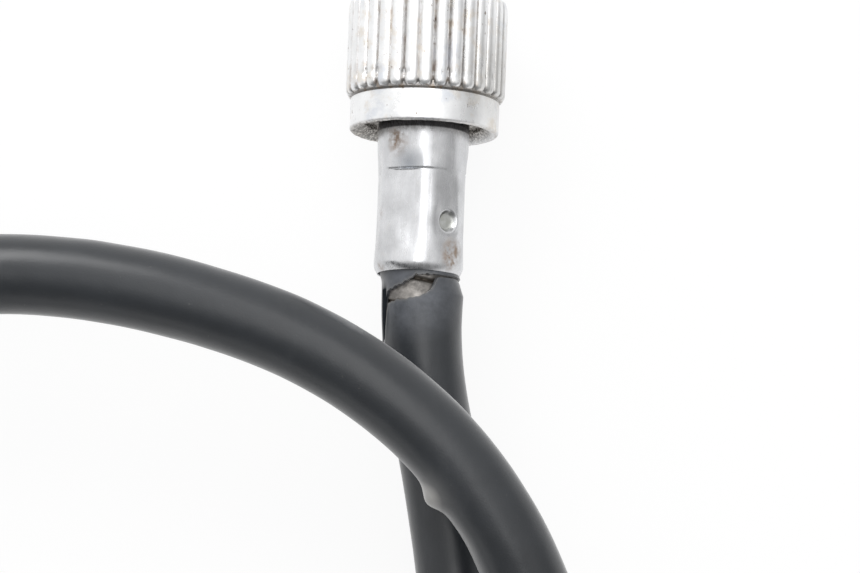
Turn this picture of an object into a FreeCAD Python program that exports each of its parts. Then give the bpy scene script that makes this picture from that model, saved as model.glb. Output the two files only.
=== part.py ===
import FreeCAD, Part
import math
import os

import Sketcher
from FreeCAD import Placement, Rotation, Vector

# An instrument drive cable: a rotating core in a sheathed, wound conduit, with the same
# knurled union nut and crimped ferrule at the gauge end and at the drive end.
# The origin is the centre of the gauge end's flange face, +Y runs out of that end along
# its axis, and the cable lies on a floor below, in the loop that the photograph shows.
# In each end fitting, Z runs outwards from the same flange face.

os.makedirs("parts", exist_ok=True)
doc = FreeCAD.newDocument("instrument_drive_cable")

# Driving dimensions

SIZES = [
    ("nut_length", 13.0, "union nut, from its rear face to its mouth"),
    ("nut_rib_diameter", 15.4, "union nut, over the grip ribs"),
    ("nut_rib_count", 32, "grip ribs round the union nut"),
    ("nut_rib_root", 0.3, "how far a rib is rooted in the nut's wall"),
    ("nut_rib_height", 0.5, "grip rib, above the valleys and the plain band"),
    ("nut_rib_overlap", 1.03, "width of a rib's foot, as a share of the pitch"),
    ("nut_rib_shoulder", 0.62, "height of a rib's shoulder, as a share of its height"),
    ("nut_rib_cheek", 0.8, "width at the shoulder, as a share of the foot"),
    ("nut_rib_crest", 0.34, "width of the crest, as a share of the foot"),
    ("nut_rib_end", 0.7, "length over which a rib's rear end is rounded"),
    ("nut_rib_rear_share", 0.25, "height left of a rib at its rear end"),
    ("nut_rib_end_bend", 0.3, "share of a rounded end that lies below the shoulder"),
    ("nut_band_length", 3.2, "plain band behind the ribs, along the axis"),
    ("nut_band_chamfer", 0.3, "chamfer of the plain band's rear edge"),
    ("nut_thread_bore", 10.92, "core diameter of the M12 x 1 thread"),
    ("nut_thread_lead", 0.6, "chamfer at the thread's mouth"),
    ("nut_crown_share", 0.15, "height left of the ribs at the mouth"),
    ("nut_crown_length", 1.8, "length of that rounding along the axis"),
    ("nut_web_gap", 0.2, "room between the web's hole and the ferrule's shank"),
    ("nut_web_thickness", 1.6, "web that pulls on the flange"),
    ("nut_recess_diameter", 11.3, "recess behind the web"),
    ("nut_recess_depth", 1.2, "depth of that recess"),
    ("washer_thickness", 0.5, "thrust washer between web and flange"),
    ("washer_diameter", 10.4, "thrust washer, outside"),
    ("face_gap", 0.05, "running gap between loose faces"),
    ("flange_diameter", 10.6, "ferrule flange"),
    ("flange_thickness", 1.8, "ferrule flange, along the axis"),
    ("pilot_diameter", 6.5, "ferrule nose that enters the instrument"),
    ("pilot_length", 3.0, "ferrule nose, ahead of the flange"),
    ("pilot_chamfer", 0.4, "lead-in of the nose"),
    ("seal_inner_diameter", 8.0, "rubber face seal, inside"),
    ("seal_outer_diameter", 9.9, "rubber face seal, outside"),
    ("seal_thickness", 1.0, "rubber face seal, along the axis"),
    ("seal_seat_depth", 0.4, "step in the flange face that the seal lies in"),
    ("seal_side_gap", 0.05, "room between the seal and the boss that it goes round"),
    ("ferrule_length", 19.1, "ferrule, from the flange face to its rear end"),
    ("lip_wall", 0.45, "wall of the round lip behind the crimp"),
    ("shank_step", 0.1, "how far the shank ahead of the crimp stands above the lip"),
    ("lip_length", 2.4, "round lip, along the axis"),
    ("lip_chamfer", 0.3, "chamfer of the lip's rear edge"),
    ("crimp_start", 9.4, "from the flange face to the crimp's front step"),
    ("crimp_length", 7.3, "hexagonal crimp, along the axis"),
    ("crimp_wall", 0.59, "ferrule's wall at the middle of a flat of the crimp"),
    ("crimp_turn", 42.0, "direction of the first flat, in degrees from the upper side"),
    ("dimple_diameter", 2.6, "staked dimple, at its rim"),
    ("dimple_depth", 0.42, "staked dimple, below the flat"),
    ("dimple_taper", 38.0, "slope of the dimple's side, in degrees"),
    ("dimple_place", 14.5, "from the flange face to the dimple's centre"),
    ("conduit_seat", 4.6, "from the flange face to the conduit's front end"),
    ("conduit_tail", 5.5, "separate conduit, behind the ferrule"),
    ("liner_wall", 0.3, "plastic liner, wall"),
    ("slip_gap", 0.05, "room between nested tubes; the conduit fills what they leave"),
    ("sheath_diameter", 7.6, "outer sheath, outside"),
    ("sheath_wall", 0.65, "outer sheath, wall"),
    ("sheath_sides", 8, "flats that stand for the sheath's round section"),
    ("sheath_seat", 7.6, "from the flange face to the sheath's front end"),
    ("sheath_squeeze", 0.38, "how far the crimp squeezes the sheath's outside in"),
    ("bush_diameter", 4.8, "core bush, pressed in the nose"),
    ("core_diameter", 3.0, "wound core, which turns inside"),
    ("core_running_gap", 0.06, "room between core and bush"),
    ("core_play", 0.35, "room between core and liner"),
    ("collar_across_flats", 4.1, "stop collar, crimped to a hexagon on the core"),
    ("collar_length", 1.6, "stop collar, along the axis"),
    ("core_washer_diameter", 4.6, "loose washer behind the collar"),
    ("core_washer_thickness", 0.35, "loose washer, along the axis"),
    ("core_washer_gap", 0.1, "room between the loose washer and the core"),
    ("core_float", 1.5, "how far the core can be drawn out"),
    ("tip_width", 2.6, "square drive tip, flat to flat"),
    ("tip_chamfer", 0.4, "chamfer of the square tip's end"),
    ("tip_length", 7.5, "square drive tip, ahead of the collar"),
    ("foot_gap", 0.04, "how much higher the sheath lies than the nuts"),
    ("ends_apart", 98.0, "from the gauge end's axis to the drive end's"),
    ("drive_end_back", 27.2, "how far the drive end lies behind the gauge end"),
    ("first_run", 7.5, "straight run of sheath behind each ferrule"),
    ("tear_length", 5.6, "slanted tear in the sheath at the gauge end"),
    ("tear_height", 1.7, "tear, across its length"),
    ("tear_slope", 32.0, "slope of the tear across the cable, in degrees"),
    ("tear_place", 2.0, "from the ferrule's rear end to the tear's centre"),
    ("tear_aside", 0.35, "from the cable's centre line to the tear's centre"),
]

# The sheath's path on the floor between the two straight end runs: across, back from the
# ferrule's rear end, and how high the cable is lifted. It goes round once, rises over its
# own start near the gauge end, and goes half round again outside the first turn.
ROUTE = [
    (3.0, 20.4, 2.46),
    (5.4, 34.9, 0.46),
    (4.8, 52.9, 0.0),
    (-2.6, 69.5, 0.0),
    (-16.8, 81.3, 0.0),
    (-34.6, 85.9, 0.0),
    (-53.0, 83.5, 0.0),
    (-69.0, 74.5, 0.0),
    (-80.0, 60.7, 0.0),
    (-84.0, 43.6, 0.16),
    (-80.0, 26.2, 1.66),
    (-69.3, 12.0, 5.26),
    (-54.4, 3.8, 9.26),
    (-36.8, 2.3, 12.46),
    (-22.0, 4.4, 14.06),
    (-7.6, 9.2, 14.66),
    (4.4, 18.2, 14.66),
    (12.3, 30.5, 12.66),
    (16.2, 45.5, 7.96),
    (15.6, 61.9, 3.06),
    (8.6, 77.5, 0.26),
    (-4.4, 89.5, 0.0),
    (-21.4, 94.9, 0.0),
    (-40.6, 95.8, 0.0),
    (-60.6, 93.5, 0.0),
    (-78.6, 85.3, 0.0),
    (-91.0, 70.7, 0.26),
    (-97.0, 52.5, 1.86),
]

ARC_SHARE = 0.45          # an arc takes this share of the shorter run beside it
VOLUME_TOLERANCE = 0.01   # share by which a swept tube may miss section times length

sheet = doc.addObject("Spreadsheet::Sheet", "Sizes")
for row, (alias, value, meaning) in enumerate(SIZES, start=1):
    sheet.set(f"A{row}", meaning)
    sheet.set(f"B{row}", str(value))
    sheet.setAlias(f"B{row}", alias)
doc.recompute()


def size(alias):
    """A driving dimension's number, read back from the sheet."""
    return float(sheet.get(alias))


def size_at(place):
    """The number that an expression for a place along the axis comes to."""
    probe = doc.addObject("App::VarSet", "Probe")
    probe.addProperty("App::PropertyFloat", "Place")
    probe.setExpression("Place", place)
    doc.recompute()
    value = probe.Place
    doc.removeObject(probe.Name)
    return value


def of(alias):
    """The same dimension as an expression."""
    return f"Sizes.{alias}"


def half(alias):
    """Half of a diameter or width, as an expression."""
    return f"({of(alias)} / 2)"


# Places along the axis of an end fitting, as expressions. Zero is the flange face.

FLANGE_REAR = f"(-{of('flange_thickness')})"
WASHER_FRONT = f"({FLANGE_REAR} - {of('face_gap')})"
WASHER_REAR = f"({WASHER_FRONT} - {of('washer_thickness')})"
WEB_FRONT = f"({WASHER_REAR} - {of('face_gap')})"
WEB_REAR = f"({WEB_FRONT} - {of('nut_web_thickness')})"
NUT_REAR = f"({WEB_REAR} - {of('nut_recess_depth')})"
NUT_MOUTH = f"({NUT_REAR} + {of('nut_length')})"
BAND_FRONT = f"({NUT_REAR} + {of('nut_band_length')})"
CROWN_START = f"({NUT_MOUTH} - {of('nut_crown_length')})"
CRIMP_STEP = f"(-{of('crimp_start')} - {of('shank_step')})"
LIP_FRONT = f"(-{of('ferrule_length')} + {of('lip_length')})"
FERRULE_REAR = f"(-{of('ferrule_length')})"
SHEATH_FRONT = f"(-{of('sheath_seat')})"
CONDUIT_FRONT = f"(-{of('conduit_seat')})"
CONDUIT_ROOT = f"({FERRULE_REAR} - {of('conduit_tail')})"
CORE_ROOT = f"({FERRULE_REAR} - {of('core_float')})"
CORE_WASHER_REAR = f"({of('pilot_length')} + {of('face_gap')})"
COLLAR_REAR = f"({CORE_WASHER_REAR} + {of('core_washer_thickness')} + {of('face_gap')})"
COLLAR_FRONT = f"({COLLAR_REAR} + {of('collar_length')})"

# Radii from the core's axis outwards, as expressions

CORE_HOLE = f"({half('core_diameter')} + {of('core_running_gap')})"
LINER_BORE = f"({half('core_diameter')} + {of('core_play')})"
LINER_RADIUS = f"({LINER_BORE} + {of('liner_wall')})"
CONDUIT_BORE = f"({LINER_RADIUS} + {of('slip_gap')})"
SHEATH_BORE = f"({half('sheath_diameter')} - {of('sheath_wall')})"
CONDUIT_RADIUS = f"({SHEATH_BORE} - {of('slip_gap')})"
NECK_RADIUS = f"({half('sheath_diameter')} - {of('sheath_squeeze')})"
NECK_SEAT = f"({NECK_RADIUS} + {of('slip_gap')})"
SHEATH_SEAT = f"({half('sheath_diameter')} + {of('slip_gap')})"
CRIMP_FLAT = f"({NECK_SEAT} + {of('crimp_wall')})"
LIP_RADIUS = f"({SHEATH_SEAT} + {of('lip_wall')})"
SHANK_RADIUS = f"({LIP_RADIUS} + {of('shank_step')})"
WEB_BORE = f"({SHANK_RADIUS} + {of('nut_web_gap')})"
BOSS_RADIUS = f"({half('seal_inner_diameter')} - {of('seal_side_gap')})"

# Radii and widths of the union nut's ribs, as expressions

RIB_CREST = half("nut_rib_diameter")
RIB_HEIGHT = of("nut_rib_height")
RIB_VALLEY = f"({RIB_CREST} - {RIB_HEIGHT})"
RIB_FOOT = f"({RIB_VALLEY} * tan(180 / {of('nut_rib_count')}) * {of('nut_rib_overlap')})"
RIB_SHOULDER = f"({RIB_VALLEY} + {RIB_HEIGHT} * {of('nut_rib_shoulder')})"
RIB_REAR = f"({RIB_VALLEY} + {RIB_HEIGHT} * {of('nut_rib_rear_share')})"
RIB_CROWN = f"({RIB_VALLEY} + {RIB_HEIGHT} * {of('nut_crown_share')})"


# Sketches

def add_sketch(body, name, role, height="0"):
    """A sketch on one of the body's own planes, raised along the plane's normal."""
    sketch = body.newObject("Sketcher::SketchObject", name)
    plane = [item for item in body.Origin.OriginFeatures if item.Role == role][0]
    sketch.AttachmentSupport = [(plane, "")]
    sketch.MapMode = "FlatFace"
    sketch.setExpression("AttachmentOffset.Base.z", height)
    return sketch


def hold(sketch, corner, across, along):
    """Hold a sketch point, given as (geometry, end), at two distances from the origin."""
    drawn = sketch.getPoint(*corner)
    for kind, here, distance in (("DistanceX", drawn.x, across), ("DistanceY", drawn.y, along)):
        index = sketch.addConstraint(Sketcher.Constraint(kind, -1, 1, *corner, here))
        sketch.setExpression(f"Constraints[{index}]", distance)


def draw_outline(sketch, corners):
    """A closed outline of straight lines, each corner held by two expressions."""
    count = len(corners)
    spread = [Vector(math.cos(math.tau * i / count), math.sin(math.tau * i / count), 0)
              for i in range(count)]
    first = sketch.GeometryCount
    for i in range(count):
        sketch.addGeometry(Part.LineSegment(spread[i], spread[(i + 1) % count]), False)
    for i in range(count):
        sketch.addConstraint(Sketcher.Constraint(
            "Coincident", first + i, 2, first + (i + 1) % count, 1))
    for i, (across, along) in enumerate(corners):
        hold(sketch, (first + i, 1), across, along)


def draw_circle(sketch, radius, along=None):
    """A circle held by its radius, centred on the origin or along the upright axis."""
    index = sketch.addGeometry(Part.Circle(Vector(0, 1, 0), Vector(0, 0, 1), 1.0), False)
    if along:
        sketch.addConstraint(Sketcher.Constraint("PointOnObject", index, 3, -2))
        held = sketch.addConstraint(Sketcher.Constraint("DistanceY", -1, 1, index, 3, 1.0))
        sketch.setExpression(f"Constraints[{held}]", along)
    else:
        sketch.addConstraint(Sketcher.Constraint("Coincident", index, 3, -1, 1))
    held = sketch.addConstraint(Sketcher.Constraint("Radius", index, 1.0))
    sketch.setExpression(f"Constraints[{held}]", radius)


def draw_hexagon(sketch, flat, turn):
    """A hexagon by the distance to its flats and the first flat's turn from the upper side."""
    corner = f"({flat} / cos(30))"
    # Seen along the axis from outside, the upper side is -Y in the fitting's own frame
    angles = [f"({turn} - 90 + {60 * side - 30})" for side in range(6)]
    draw_outline(sketch, [(f"({corner} * cos({angle}))", f"({corner} * sin({angle}))")
                          for angle in angles])


# Features

def end_placement(body, end):
    """Turn a fitting's own Z to +Y, and for the drive end move it to its place."""
    body.Placement = Placement(Vector(0, 0, 0), Rotation(Vector(1, 0, 0), -90))
    if end == "drive":
        body.setExpression("Placement.Base.x", f"-{of('ends_apart')}")
        body.setExpression("Placement.Base.y", f"-{of('drive_end_back')}")


def new_body(label, end):
    """An empty body under its own name, placed at one end of the cable."""
    body = doc.addObject("PartDesign::Body", label)
    body.Label = label
    end_placement(body, end)
    return body


def turned(body, name, corners):
    """A solid turned from a half outline of (radius, place along the axis)."""
    sketch = add_sketch(body, f"{body.Name}_{name}_outline", "XZ_Plane")
    draw_outline(sketch, corners)
    feature = body.newObject("PartDesign::Revolution", f"{body.Name}_{name}")
    feature.Profile = sketch
    feature.ReferenceAxis = (sketch, ["V_Axis"])
    feature.Angle = 360
    doc.recompute()
    return feature


def ring(label, end, outer, inner, rear, length):
    """A plain ring with its own body."""
    body = new_body(label, end)
    sketch = add_sketch(body, f"{label}_section", "XY_Plane", rear)
    draw_circle(sketch, outer)
    draw_circle(sketch, inner)
    pad = body.newObject("PartDesign::Pad", f"{label}_pad")
    pad.Profile = sketch
    pad.setExpression("Length", length)
    doc.recompute()
    return body


# Union nut: a turned blank with a recessed rear, and grip ribs rounded off at both ends

def rib_outline(body, name):
    """A rib's cross section, where it starts in front of the plain band."""
    sketch = add_sketch(body, f"{name}_outline", "XY_Plane", BAND_FRONT)
    root = f"({RIB_VALLEY} - {of('nut_rib_root')})"
    cheek = f"({RIB_FOOT} * {of('nut_rib_cheek')})"
    crest = f"({RIB_FOOT} * {of('nut_rib_crest')})"
    draw_outline(sketch, [
        (root, f"-{RIB_FOOT}"),
        (RIB_VALLEY, f"-{RIB_FOOT}"),
        (RIB_SHOULDER, f"-{cheek}"),
        (RIB_CREST, f"-{crest}"),
        (RIB_CREST, crest),
        (RIB_SHOULDER, cheek),
        (RIB_VALLEY, RIB_FOOT),
        (root, RIB_FOOT),
    ])
    return sketch


def rib_end_cut(body, name):
    """What rounds a rib off at both its ends, drawn from the side."""
    sketch = add_sketch(body, f"{name}_outline", "XZ_Plane")
    clear = f"({RIB_CREST} + {of('nut_rib_root')})"
    behind = f"({BAND_FRONT} - {of('nut_rib_root')})"
    ahead = f"({NUT_MOUTH} + {of('nut_rib_root')})"
    draw_outline(sketch, [
        (RIB_REAR, behind),
        (RIB_REAR, BAND_FRONT),
        (RIB_SHOULDER, f"({BAND_FRONT} + {of('nut_rib_end')} * {of('nut_rib_end_bend')})"),
        (RIB_CREST, f"({BAND_FRONT} + {of('nut_rib_end')})"),
        (clear, f"({BAND_FRONT} + {of('nut_rib_end')})"),
        (clear, behind),
    ])
    draw_outline(sketch, [
        (RIB_CREST, CROWN_START),
        (RIB_SHOULDER, f"({NUT_MOUTH} - {of('nut_crown_length')} * {of('nut_rib_end_bend')})"),
        (RIB_CROWN, NUT_MOUTH),
        (RIB_CROWN, ahead),
        (clear, ahead),
        (clear, CROWN_START),
    ])
    return sketch


def union_nut(end):
    body = new_body(f"{end}_union_nut", end)
    name = body.Name
    turned(body, "blank", [
        (half("nut_recess_diameter"), NUT_REAR),
        (f"({RIB_VALLEY} - {of('nut_band_chamfer')})", NUT_REAR),
        (RIB_VALLEY, f"({NUT_REAR} + {of('nut_band_chamfer')})"),
        (RIB_VALLEY, NUT_MOUTH),
        (f"({half('nut_thread_bore')} + {of('nut_thread_lead')})", NUT_MOUTH),
        (half("nut_thread_bore"), f"({NUT_MOUTH} - {of('nut_thread_lead')})"),
        (half("nut_thread_bore"), WEB_FRONT),
        (WEB_BORE, WEB_FRONT),
        (WEB_BORE, WEB_REAR),
        (half("nut_recess_diameter"), WEB_REAR),
    ])

    before = body.Tip.Shape.Volume
    outline = rib_outline(body, f"{name}_rib")
    rib = body.newObject("PartDesign::Pad", f"{name}_rib")
    rib.Profile = outline
    rib.setExpression("Length", f"{NUT_MOUTH} - {BAND_FRONT}")
    doc.recompute()
    ends = body.newObject("PartDesign::Pocket", f"{name}_rib_ends")
    ends.Profile = rib_end_cut(body, f"{name}_rib_ends")
    ends.SideType = "Symmetric"
    ends.setExpression("Length", f"2 * {RIB_FOOT}")
    doc.recompute()
    if not before < ends.Shape.Volume < rib.Shape.Volume:
        raise RuntimeError(f"{name}: a rib added nothing, or its ends cut nothing")
    ribs = body.newObject("PartDesign::PolarPattern", f"{name}_ribs")
    ribs.Originals = [rib, ends]
    ribs.Axis = (outline, ["N_Axis"])
    ribs.Angle = 360
    ribs.setExpression("Occurrences", of("nut_rib_count"))
    body.Tip = ribs
    doc.recompute()
    one_rib = ends.Shape.Volume - before
    if ribs.Shape.Volume - before < one_rib * size("nut_rib_count") / 2:
        raise RuntimeError(f"{name}: ribs are missing")
    return body


# Ferrule: nose, flange and crimped shank over the stepped bore that holds the conduit

def ferrule(end):
    body = new_body(f"{end}_ferrule", end)
    name = body.Name
    turned(body, "blank", [
        (half("bush_diameter"), of("pilot_length")),
        (f"({half('pilot_diameter')} - {of('pilot_chamfer')})", of("pilot_length")),
        (half("pilot_diameter"), f"({of('pilot_length')} - {of('pilot_chamfer')})"),
        (half("pilot_diameter"), "0"),
        (BOSS_RADIUS, "0"),
        (BOSS_RADIUS, f"-{of('seal_seat_depth')}"),
        (half("flange_diameter"), f"-{of('seal_seat_depth')}"),
        (half("flange_diameter"), FLANGE_REAR),
        (SHANK_RADIUS, FLANGE_REAR),
        (SHANK_RADIUS, f"-{of('crimp_start')}"),
        (LIP_RADIUS, CRIMP_STEP),
        (LIP_RADIUS, f"({FERRULE_REAR} + {of('lip_chamfer')})"),
        (f"({LIP_RADIUS} - {of('lip_chamfer')})", FERRULE_REAR),
        (SHEATH_SEAT, FERRULE_REAR),
        (SHEATH_SEAT, LIP_FRONT),
        (NECK_SEAT, LIP_FRONT),
        (NECK_SEAT, SHEATH_FRONT),
        (SHEATH_BORE, SHEATH_FRONT),
        (SHEATH_BORE, CONDUIT_FRONT),
        (half("bush_diameter"), CONDUIT_FRONT),
    ])

    # The hexagonal crimp: what lies outside the six flats is pressed away
    before = body.Tip.Shape.Volume
    hexagon = add_sketch(body, f"{name}_crimp_section", "XY_Plane", f"-{of('crimp_start')}")
    draw_hexagon(hexagon, CRIMP_FLAT, of("crimp_turn"))
    draw_circle(hexagon, f"(2 * {SHANK_RADIUS})")
    crimp = body.newObject("PartDesign::Pocket", f"{name}_crimp")
    crimp.Profile = hexagon
    crimp.setExpression("Length", of("crimp_length"))
    doc.recompute()
    if crimp.Shape.Volume >= before:
        raise RuntimeError(f"{name}: the crimp cut nothing")

    # The staked dimple, in a plane turned with the first flat
    before = body.Tip.Shape.Volume
    dimple = add_sketch(body, f"{name}_dimple_section", "XZ_Plane",
                        f"({CRIMP_FLAT} * cos({of('crimp_turn')}))")
    dimple.AttachmentOffset = Placement(Vector(0, 0, 0), Rotation(Vector(0, 1, 0), size("crimp_turn")))
    dimple.setExpression("AttachmentOffset.Rotation.Angle", of("crimp_turn"))
    dimple.setExpression("AttachmentOffset.Base.x", f"{CRIMP_FLAT} * sin({of('crimp_turn')})")
    draw_circle(dimple, half("dimple_diameter"), f"-{of('dimple_place')}")
    stake = body.newObject("PartDesign::Pocket", f"{name}_dimple")
    stake.Profile = dimple
    stake.setExpression("Length", of("dimple_depth"))
    stake.setExpression("TaperAngle", f"-{of('dimple_taper')}")
    doc.recompute()
    if stake.Shape.Volume >= before:
        raise RuntimeError(f"{name}: the dimple cut nothing")
    return body


# Small turned pieces of an end fitting

def core_bush(end):
    body = new_body(f"{end}_core_bush", end)
    turned(body, "bush", [
        (CORE_HOLE, CONDUIT_FRONT),
        (half("bush_diameter"), CONDUIT_FRONT),
        (half("bush_diameter"), of("pilot_length")),
        (CORE_HOLE, of("pilot_length")),
    ])
    return body


def core(end, drawn_out):
    """The core's straight end with its square tip, shifted outwards by drawn_out."""
    body = new_body(f"{end}_core", end)
    name = body.Name
    shoulder = f"({COLLAR_FRONT} + {drawn_out})"
    turned(body, "shaft", [
        ("0", f"({CORE_ROOT} + {drawn_out})"),
        (half("core_diameter"), f"({CORE_ROOT} + {drawn_out})"),
        (half("core_diameter"), shoulder),
        ("0", shoulder),
    ])
    square = add_sketch(body, f"{name}_tip_section", "XY_Plane", shoulder)
    side = half("tip_width")
    draw_outline(square, [(side, side), (f"-{side}", side), (f"-{side}", f"-{side}"),
                          (side, f"-{side}")])
    tip = body.newObject("PartDesign::Pad", f"{name}_tip")
    tip.Profile = square
    tip.setExpression("Length", of("tip_length"))
    doc.recompute()
    top = max(vertex.Z for vertex in tip.Shape.Vertexes)
    rim = [f"Edge{number}" for number, edge in enumerate(tip.Shape.Edges, start=1)
           if all(abs(vertex.Z - top) < 1e-4 for vertex in edge.Vertexes)]
    end_chamfer = body.newObject("PartDesign::Chamfer", f"{name}_tip_chamfer")
    end_chamfer.Base = (tip, rim)
    end_chamfer.setExpression("Size", of("tip_chamfer"))
    doc.recompute()
    return body


def core_collar(end, drawn_out):
    """The stop collar, crimped on the core with its first flat level with the square tip's."""
    body = new_body(f"{end}_core_collar", end)
    section = add_sketch(body, f"{body.Name}_section", "XY_Plane", f"({COLLAR_REAR} + {drawn_out})")
    draw_hexagon(section, half("collar_across_flats"), "0")
    draw_circle(section, half("core_diameter"))
    pad = body.newObject("PartDesign::Pad", f"{body.Name}_pad")
    pad.Profile = section
    pad.setExpression("Length", of("collar_length"))
    doc.recompute()
    return body


def end_fitting(end, drawn_out):
    """Every rigid piece of one end of the cable."""
    parts = [union_nut(end), ferrule(end), core_bush(end), core(end, drawn_out),
             core_collar(end, drawn_out)]
    parts.append(ring(
        f"{end}_thrust_washer", end, half("washer_diameter"), WEB_BORE,
        WASHER_REAR, of("washer_thickness")))
    parts.append(ring(
        f"{end}_face_seal", end, half("seal_outer_diameter"), half("seal_inner_diameter"),
        f"-{of('seal_seat_depth')}", of("seal_thickness")))
    parts.append(ring(
        f"{end}_core_washer", end, half("core_washer_diameter"),
        f"({half('core_diameter')} + {of('core_washer_gap')})",
        f"({CORE_WASHER_REAR} + {drawn_out})", of("core_washer_thickness")))
    tube_length = f"({CONDUIT_FRONT} - {CONDUIT_ROOT})"
    parts.append(ring(
        f"{end}_conduit", end, CONDUIT_RADIUS, CONDUIT_BORE, CONDUIT_ROOT, tube_length))
    parts.append(ring(
        f"{end}_liner", end, LINER_RADIUS, LINER_BORE, CONDUIT_ROOT, tube_length))
    return parts


# The cable's path: straight runs joined by tangent arcs

def route_points():
    """Every corner of the path, from the sheath's seat in one ferrule to the other."""
    rear = -size("ferrule_length")
    seat = -size("sheath_seat")
    floor = -(size("nut_rib_diameter") - size("sheath_diameter")) / 2 + size("foot_gap")
    start = Vector(0, seat, 0)
    finish = Vector(-size("ends_apart"), -size("drive_end_back") + seat, 0)
    run = Vector(0, rear - size("first_run") - seat, 0)
    middle = [Vector(across, rear - back, floor + lift) for across, back, lift in ROUTE]
    return [start, start + run] + middle + [finish + run, finish]


def rounded_path(points):
    """The path's edges in order, with each arc's radius."""
    edges = []
    radii = []
    here = points[0]
    for before, corner, after in zip(points, points[1:], points[2:]):
        arriving = (corner - before).normalize()
        leaving = (after - corner).normalize()
        turn = arriving.getAngle(leaving)
        back = ARC_SHARE * min(before.distanceToPoint(corner), corner.distanceToPoint(after))
        radius = back / math.tan(turn / 2)
        inward = (leaving - arriving).normalize()
        from_corner = radius / math.cos(turn / 2) - radius
        first = corner - arriving * back
        last = corner + leaving * back
        edges.append(Part.LineSegment(here, first).toShape())
        edges.append(Part.Arc(first, corner + inward * from_corner, last).toShape())
        radii.append(radius)
        here = last
    edges.append(Part.LineSegment(here, points[-1]).toShape())
    return edges, radii


def least_gap(edges, diameter):
    """The least distance between the surfaces of two stretches more than five diameters apart."""
    step = diameter / 10
    samples = []
    along = 0.0
    for edge in edges:
        steps = max(2, int(edge.Length / step))
        for point in edge.discretize(Number=steps + 1)[:-1]:
            samples.append((along, point))
            along += edge.Length / steps
    least = math.inf
    for index, (place, point) in enumerate(samples):
        for other_place, other in samples[index:]:
            if other_place - place > 5 * diameter:
                least = min(least, point.distanceToPoint(other))
    return least - diameter


def spine(name, edges):
    """A named wire that tubes are swept along."""
    wire = doc.addObject("Part::Feature", name)
    wire.Shape = Part.Wire(edges)
    return wire


def swept(name, path, radius, sides):
    """A solid bar of regular section along a path, square to its first edge."""
    section = doc.addObject("Part::RegularPolygon", f"{name}_section")
    section.setExpression("Circumradius", radius)
    section.setExpression("Polygon", sides)
    start = path.Shape.Edges[0]
    tangent = start.tangentAt(start.FirstParameter)
    section.Placement = Placement(
        start.valueAt(start.FirstParameter), Rotation(Vector(0, 0, 1), tangent))
    tube = doc.addObject("Part::Sweep", name)
    tube.Sections = [section]
    tube.Spine = (path, [f"Edge{number}" for number in range(1, len(path.Shape.Edges) + 1)])
    tube.Solid = True
    tube.Frenet = False
    tube.Transition = "Transformed"
    doc.recompute()
    expected = Part.Face(section.Shape).Area * path.Shape.Length
    if abs(tube.Shape.Volume / expected - 1) > VOLUME_TOLERANCE:
        raise RuntimeError(f"{name}: volume {tube.Shape.Volume} instead of {expected}")
    return tube


def less(name, base, tool):
    """One solid less another."""
    cut = doc.addObject("Part::Cut", name)
    cut.Base = base
    cut.Tool = tool
    doc.recompute()
    if not 0 < cut.Shape.Volume < base.Shape.Volume:
        raise RuntimeError(f"{name}: the cut took nothing away")
    return cut


def axis_point(end, place):
    """A point on an end fitting's axis, at a place along it."""
    point = Vector(0, size_at(place), 0)
    if end == "drive":
        point += Vector(-size("ends_apart"), -size("drive_end_back"), 0)
    return point


def cylinder(name, radius, rear, length, end):
    """A plain cylinder on the axis of an end fitting."""
    solid = doc.addObject("Part::Cylinder", name)
    solid.setExpression("Radius", radius)
    solid.setExpression("Height", length)
    solid.Placement = Placement(axis_point(end, rear), Rotation(Vector(1, 0, 0), -90))
    return solid


def outer_sheath():
    """One length of sheath: necked and bored at both ends, torn beside the gauge end."""
    path_edges, path_radii = rounded_path(route_points())
    print("sheath path", round(sum(edge.Length for edge in path_edges), 1), "mm")
    print("radii", " ".join(str(round(radius, 1)) for radius in path_radii))
    print("least gap of the sheath to itself",
          round(least_gap(path_edges, size("sheath_diameter")), 2), "mm")

    # The full section starts behind the crimp at each end, and the neck goes on from there
    first = path_edges[0]
    last = path_edges[-1]
    path_edges[0] = Part.LineSegment(
        axis_point("gauge", LIP_FRONT), first.valueAt(first.LastParameter)).toShape()
    path_edges[-1] = Part.LineSegment(
        last.valueAt(last.FirstParameter), axis_point("drive", LIP_FRONT)).toShape()
    path = spine("sheath_path", path_edges)
    solid = swept("sheath_run", path, half("sheath_diameter"), of("sheath_sides"))
    necks = [cylinder(f"{end}_neck", NECK_RADIUS, LIP_FRONT, f"({SHEATH_FRONT} - {LIP_FRONT})", end)
             for end in ("gauge", "drive")]
    joined = doc.addObject("Part::MultiFuse", "sheath_with_necks")
    joined.Shapes = [solid] + necks
    doc.recompute()
    for end in ("gauge", "drive"):
        bore = cylinder(f"{end}_sheath_bore", SHEATH_BORE, CONDUIT_ROOT,
                        f"({SHEATH_FRONT} - {CONDUIT_ROOT})", end)
        joined = less(f"sheath_bored_{end}", joined, bore)

    # The tear: a slanted oval through the upper wall only
    oval = doc.addObject("Part::Ellipse", "tear_outline")
    oval.setExpression("MajorRadius", half("tear_length"))
    oval.setExpression("MinorRadius", half("tear_height"))
    oval.Placement = Placement(
        Vector(-size("tear_aside"), -size("ferrule_length") - size("tear_place"), 0),
        Rotation(Vector(0, 0, 1), size("tear_slope")))
    tear = doc.addObject("Part::Extrusion", "tear_cutter")
    tear.Base = oval
    tear.DirMode = "Custom"
    tear.Dir = Vector(0, 0, 1)
    tear.setExpression("LengthFwd", of("sheath_diameter"))
    tear.Solid = True
    doc.recompute()
    sheath = less("outer_sheath", joined, tear)
    sheath.Label = "outer_sheath"
    return sheath


pieces = end_fitting("gauge", "0") + end_fitting("drive", of("core_float"))
pieces.append(outer_sheath())

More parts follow.
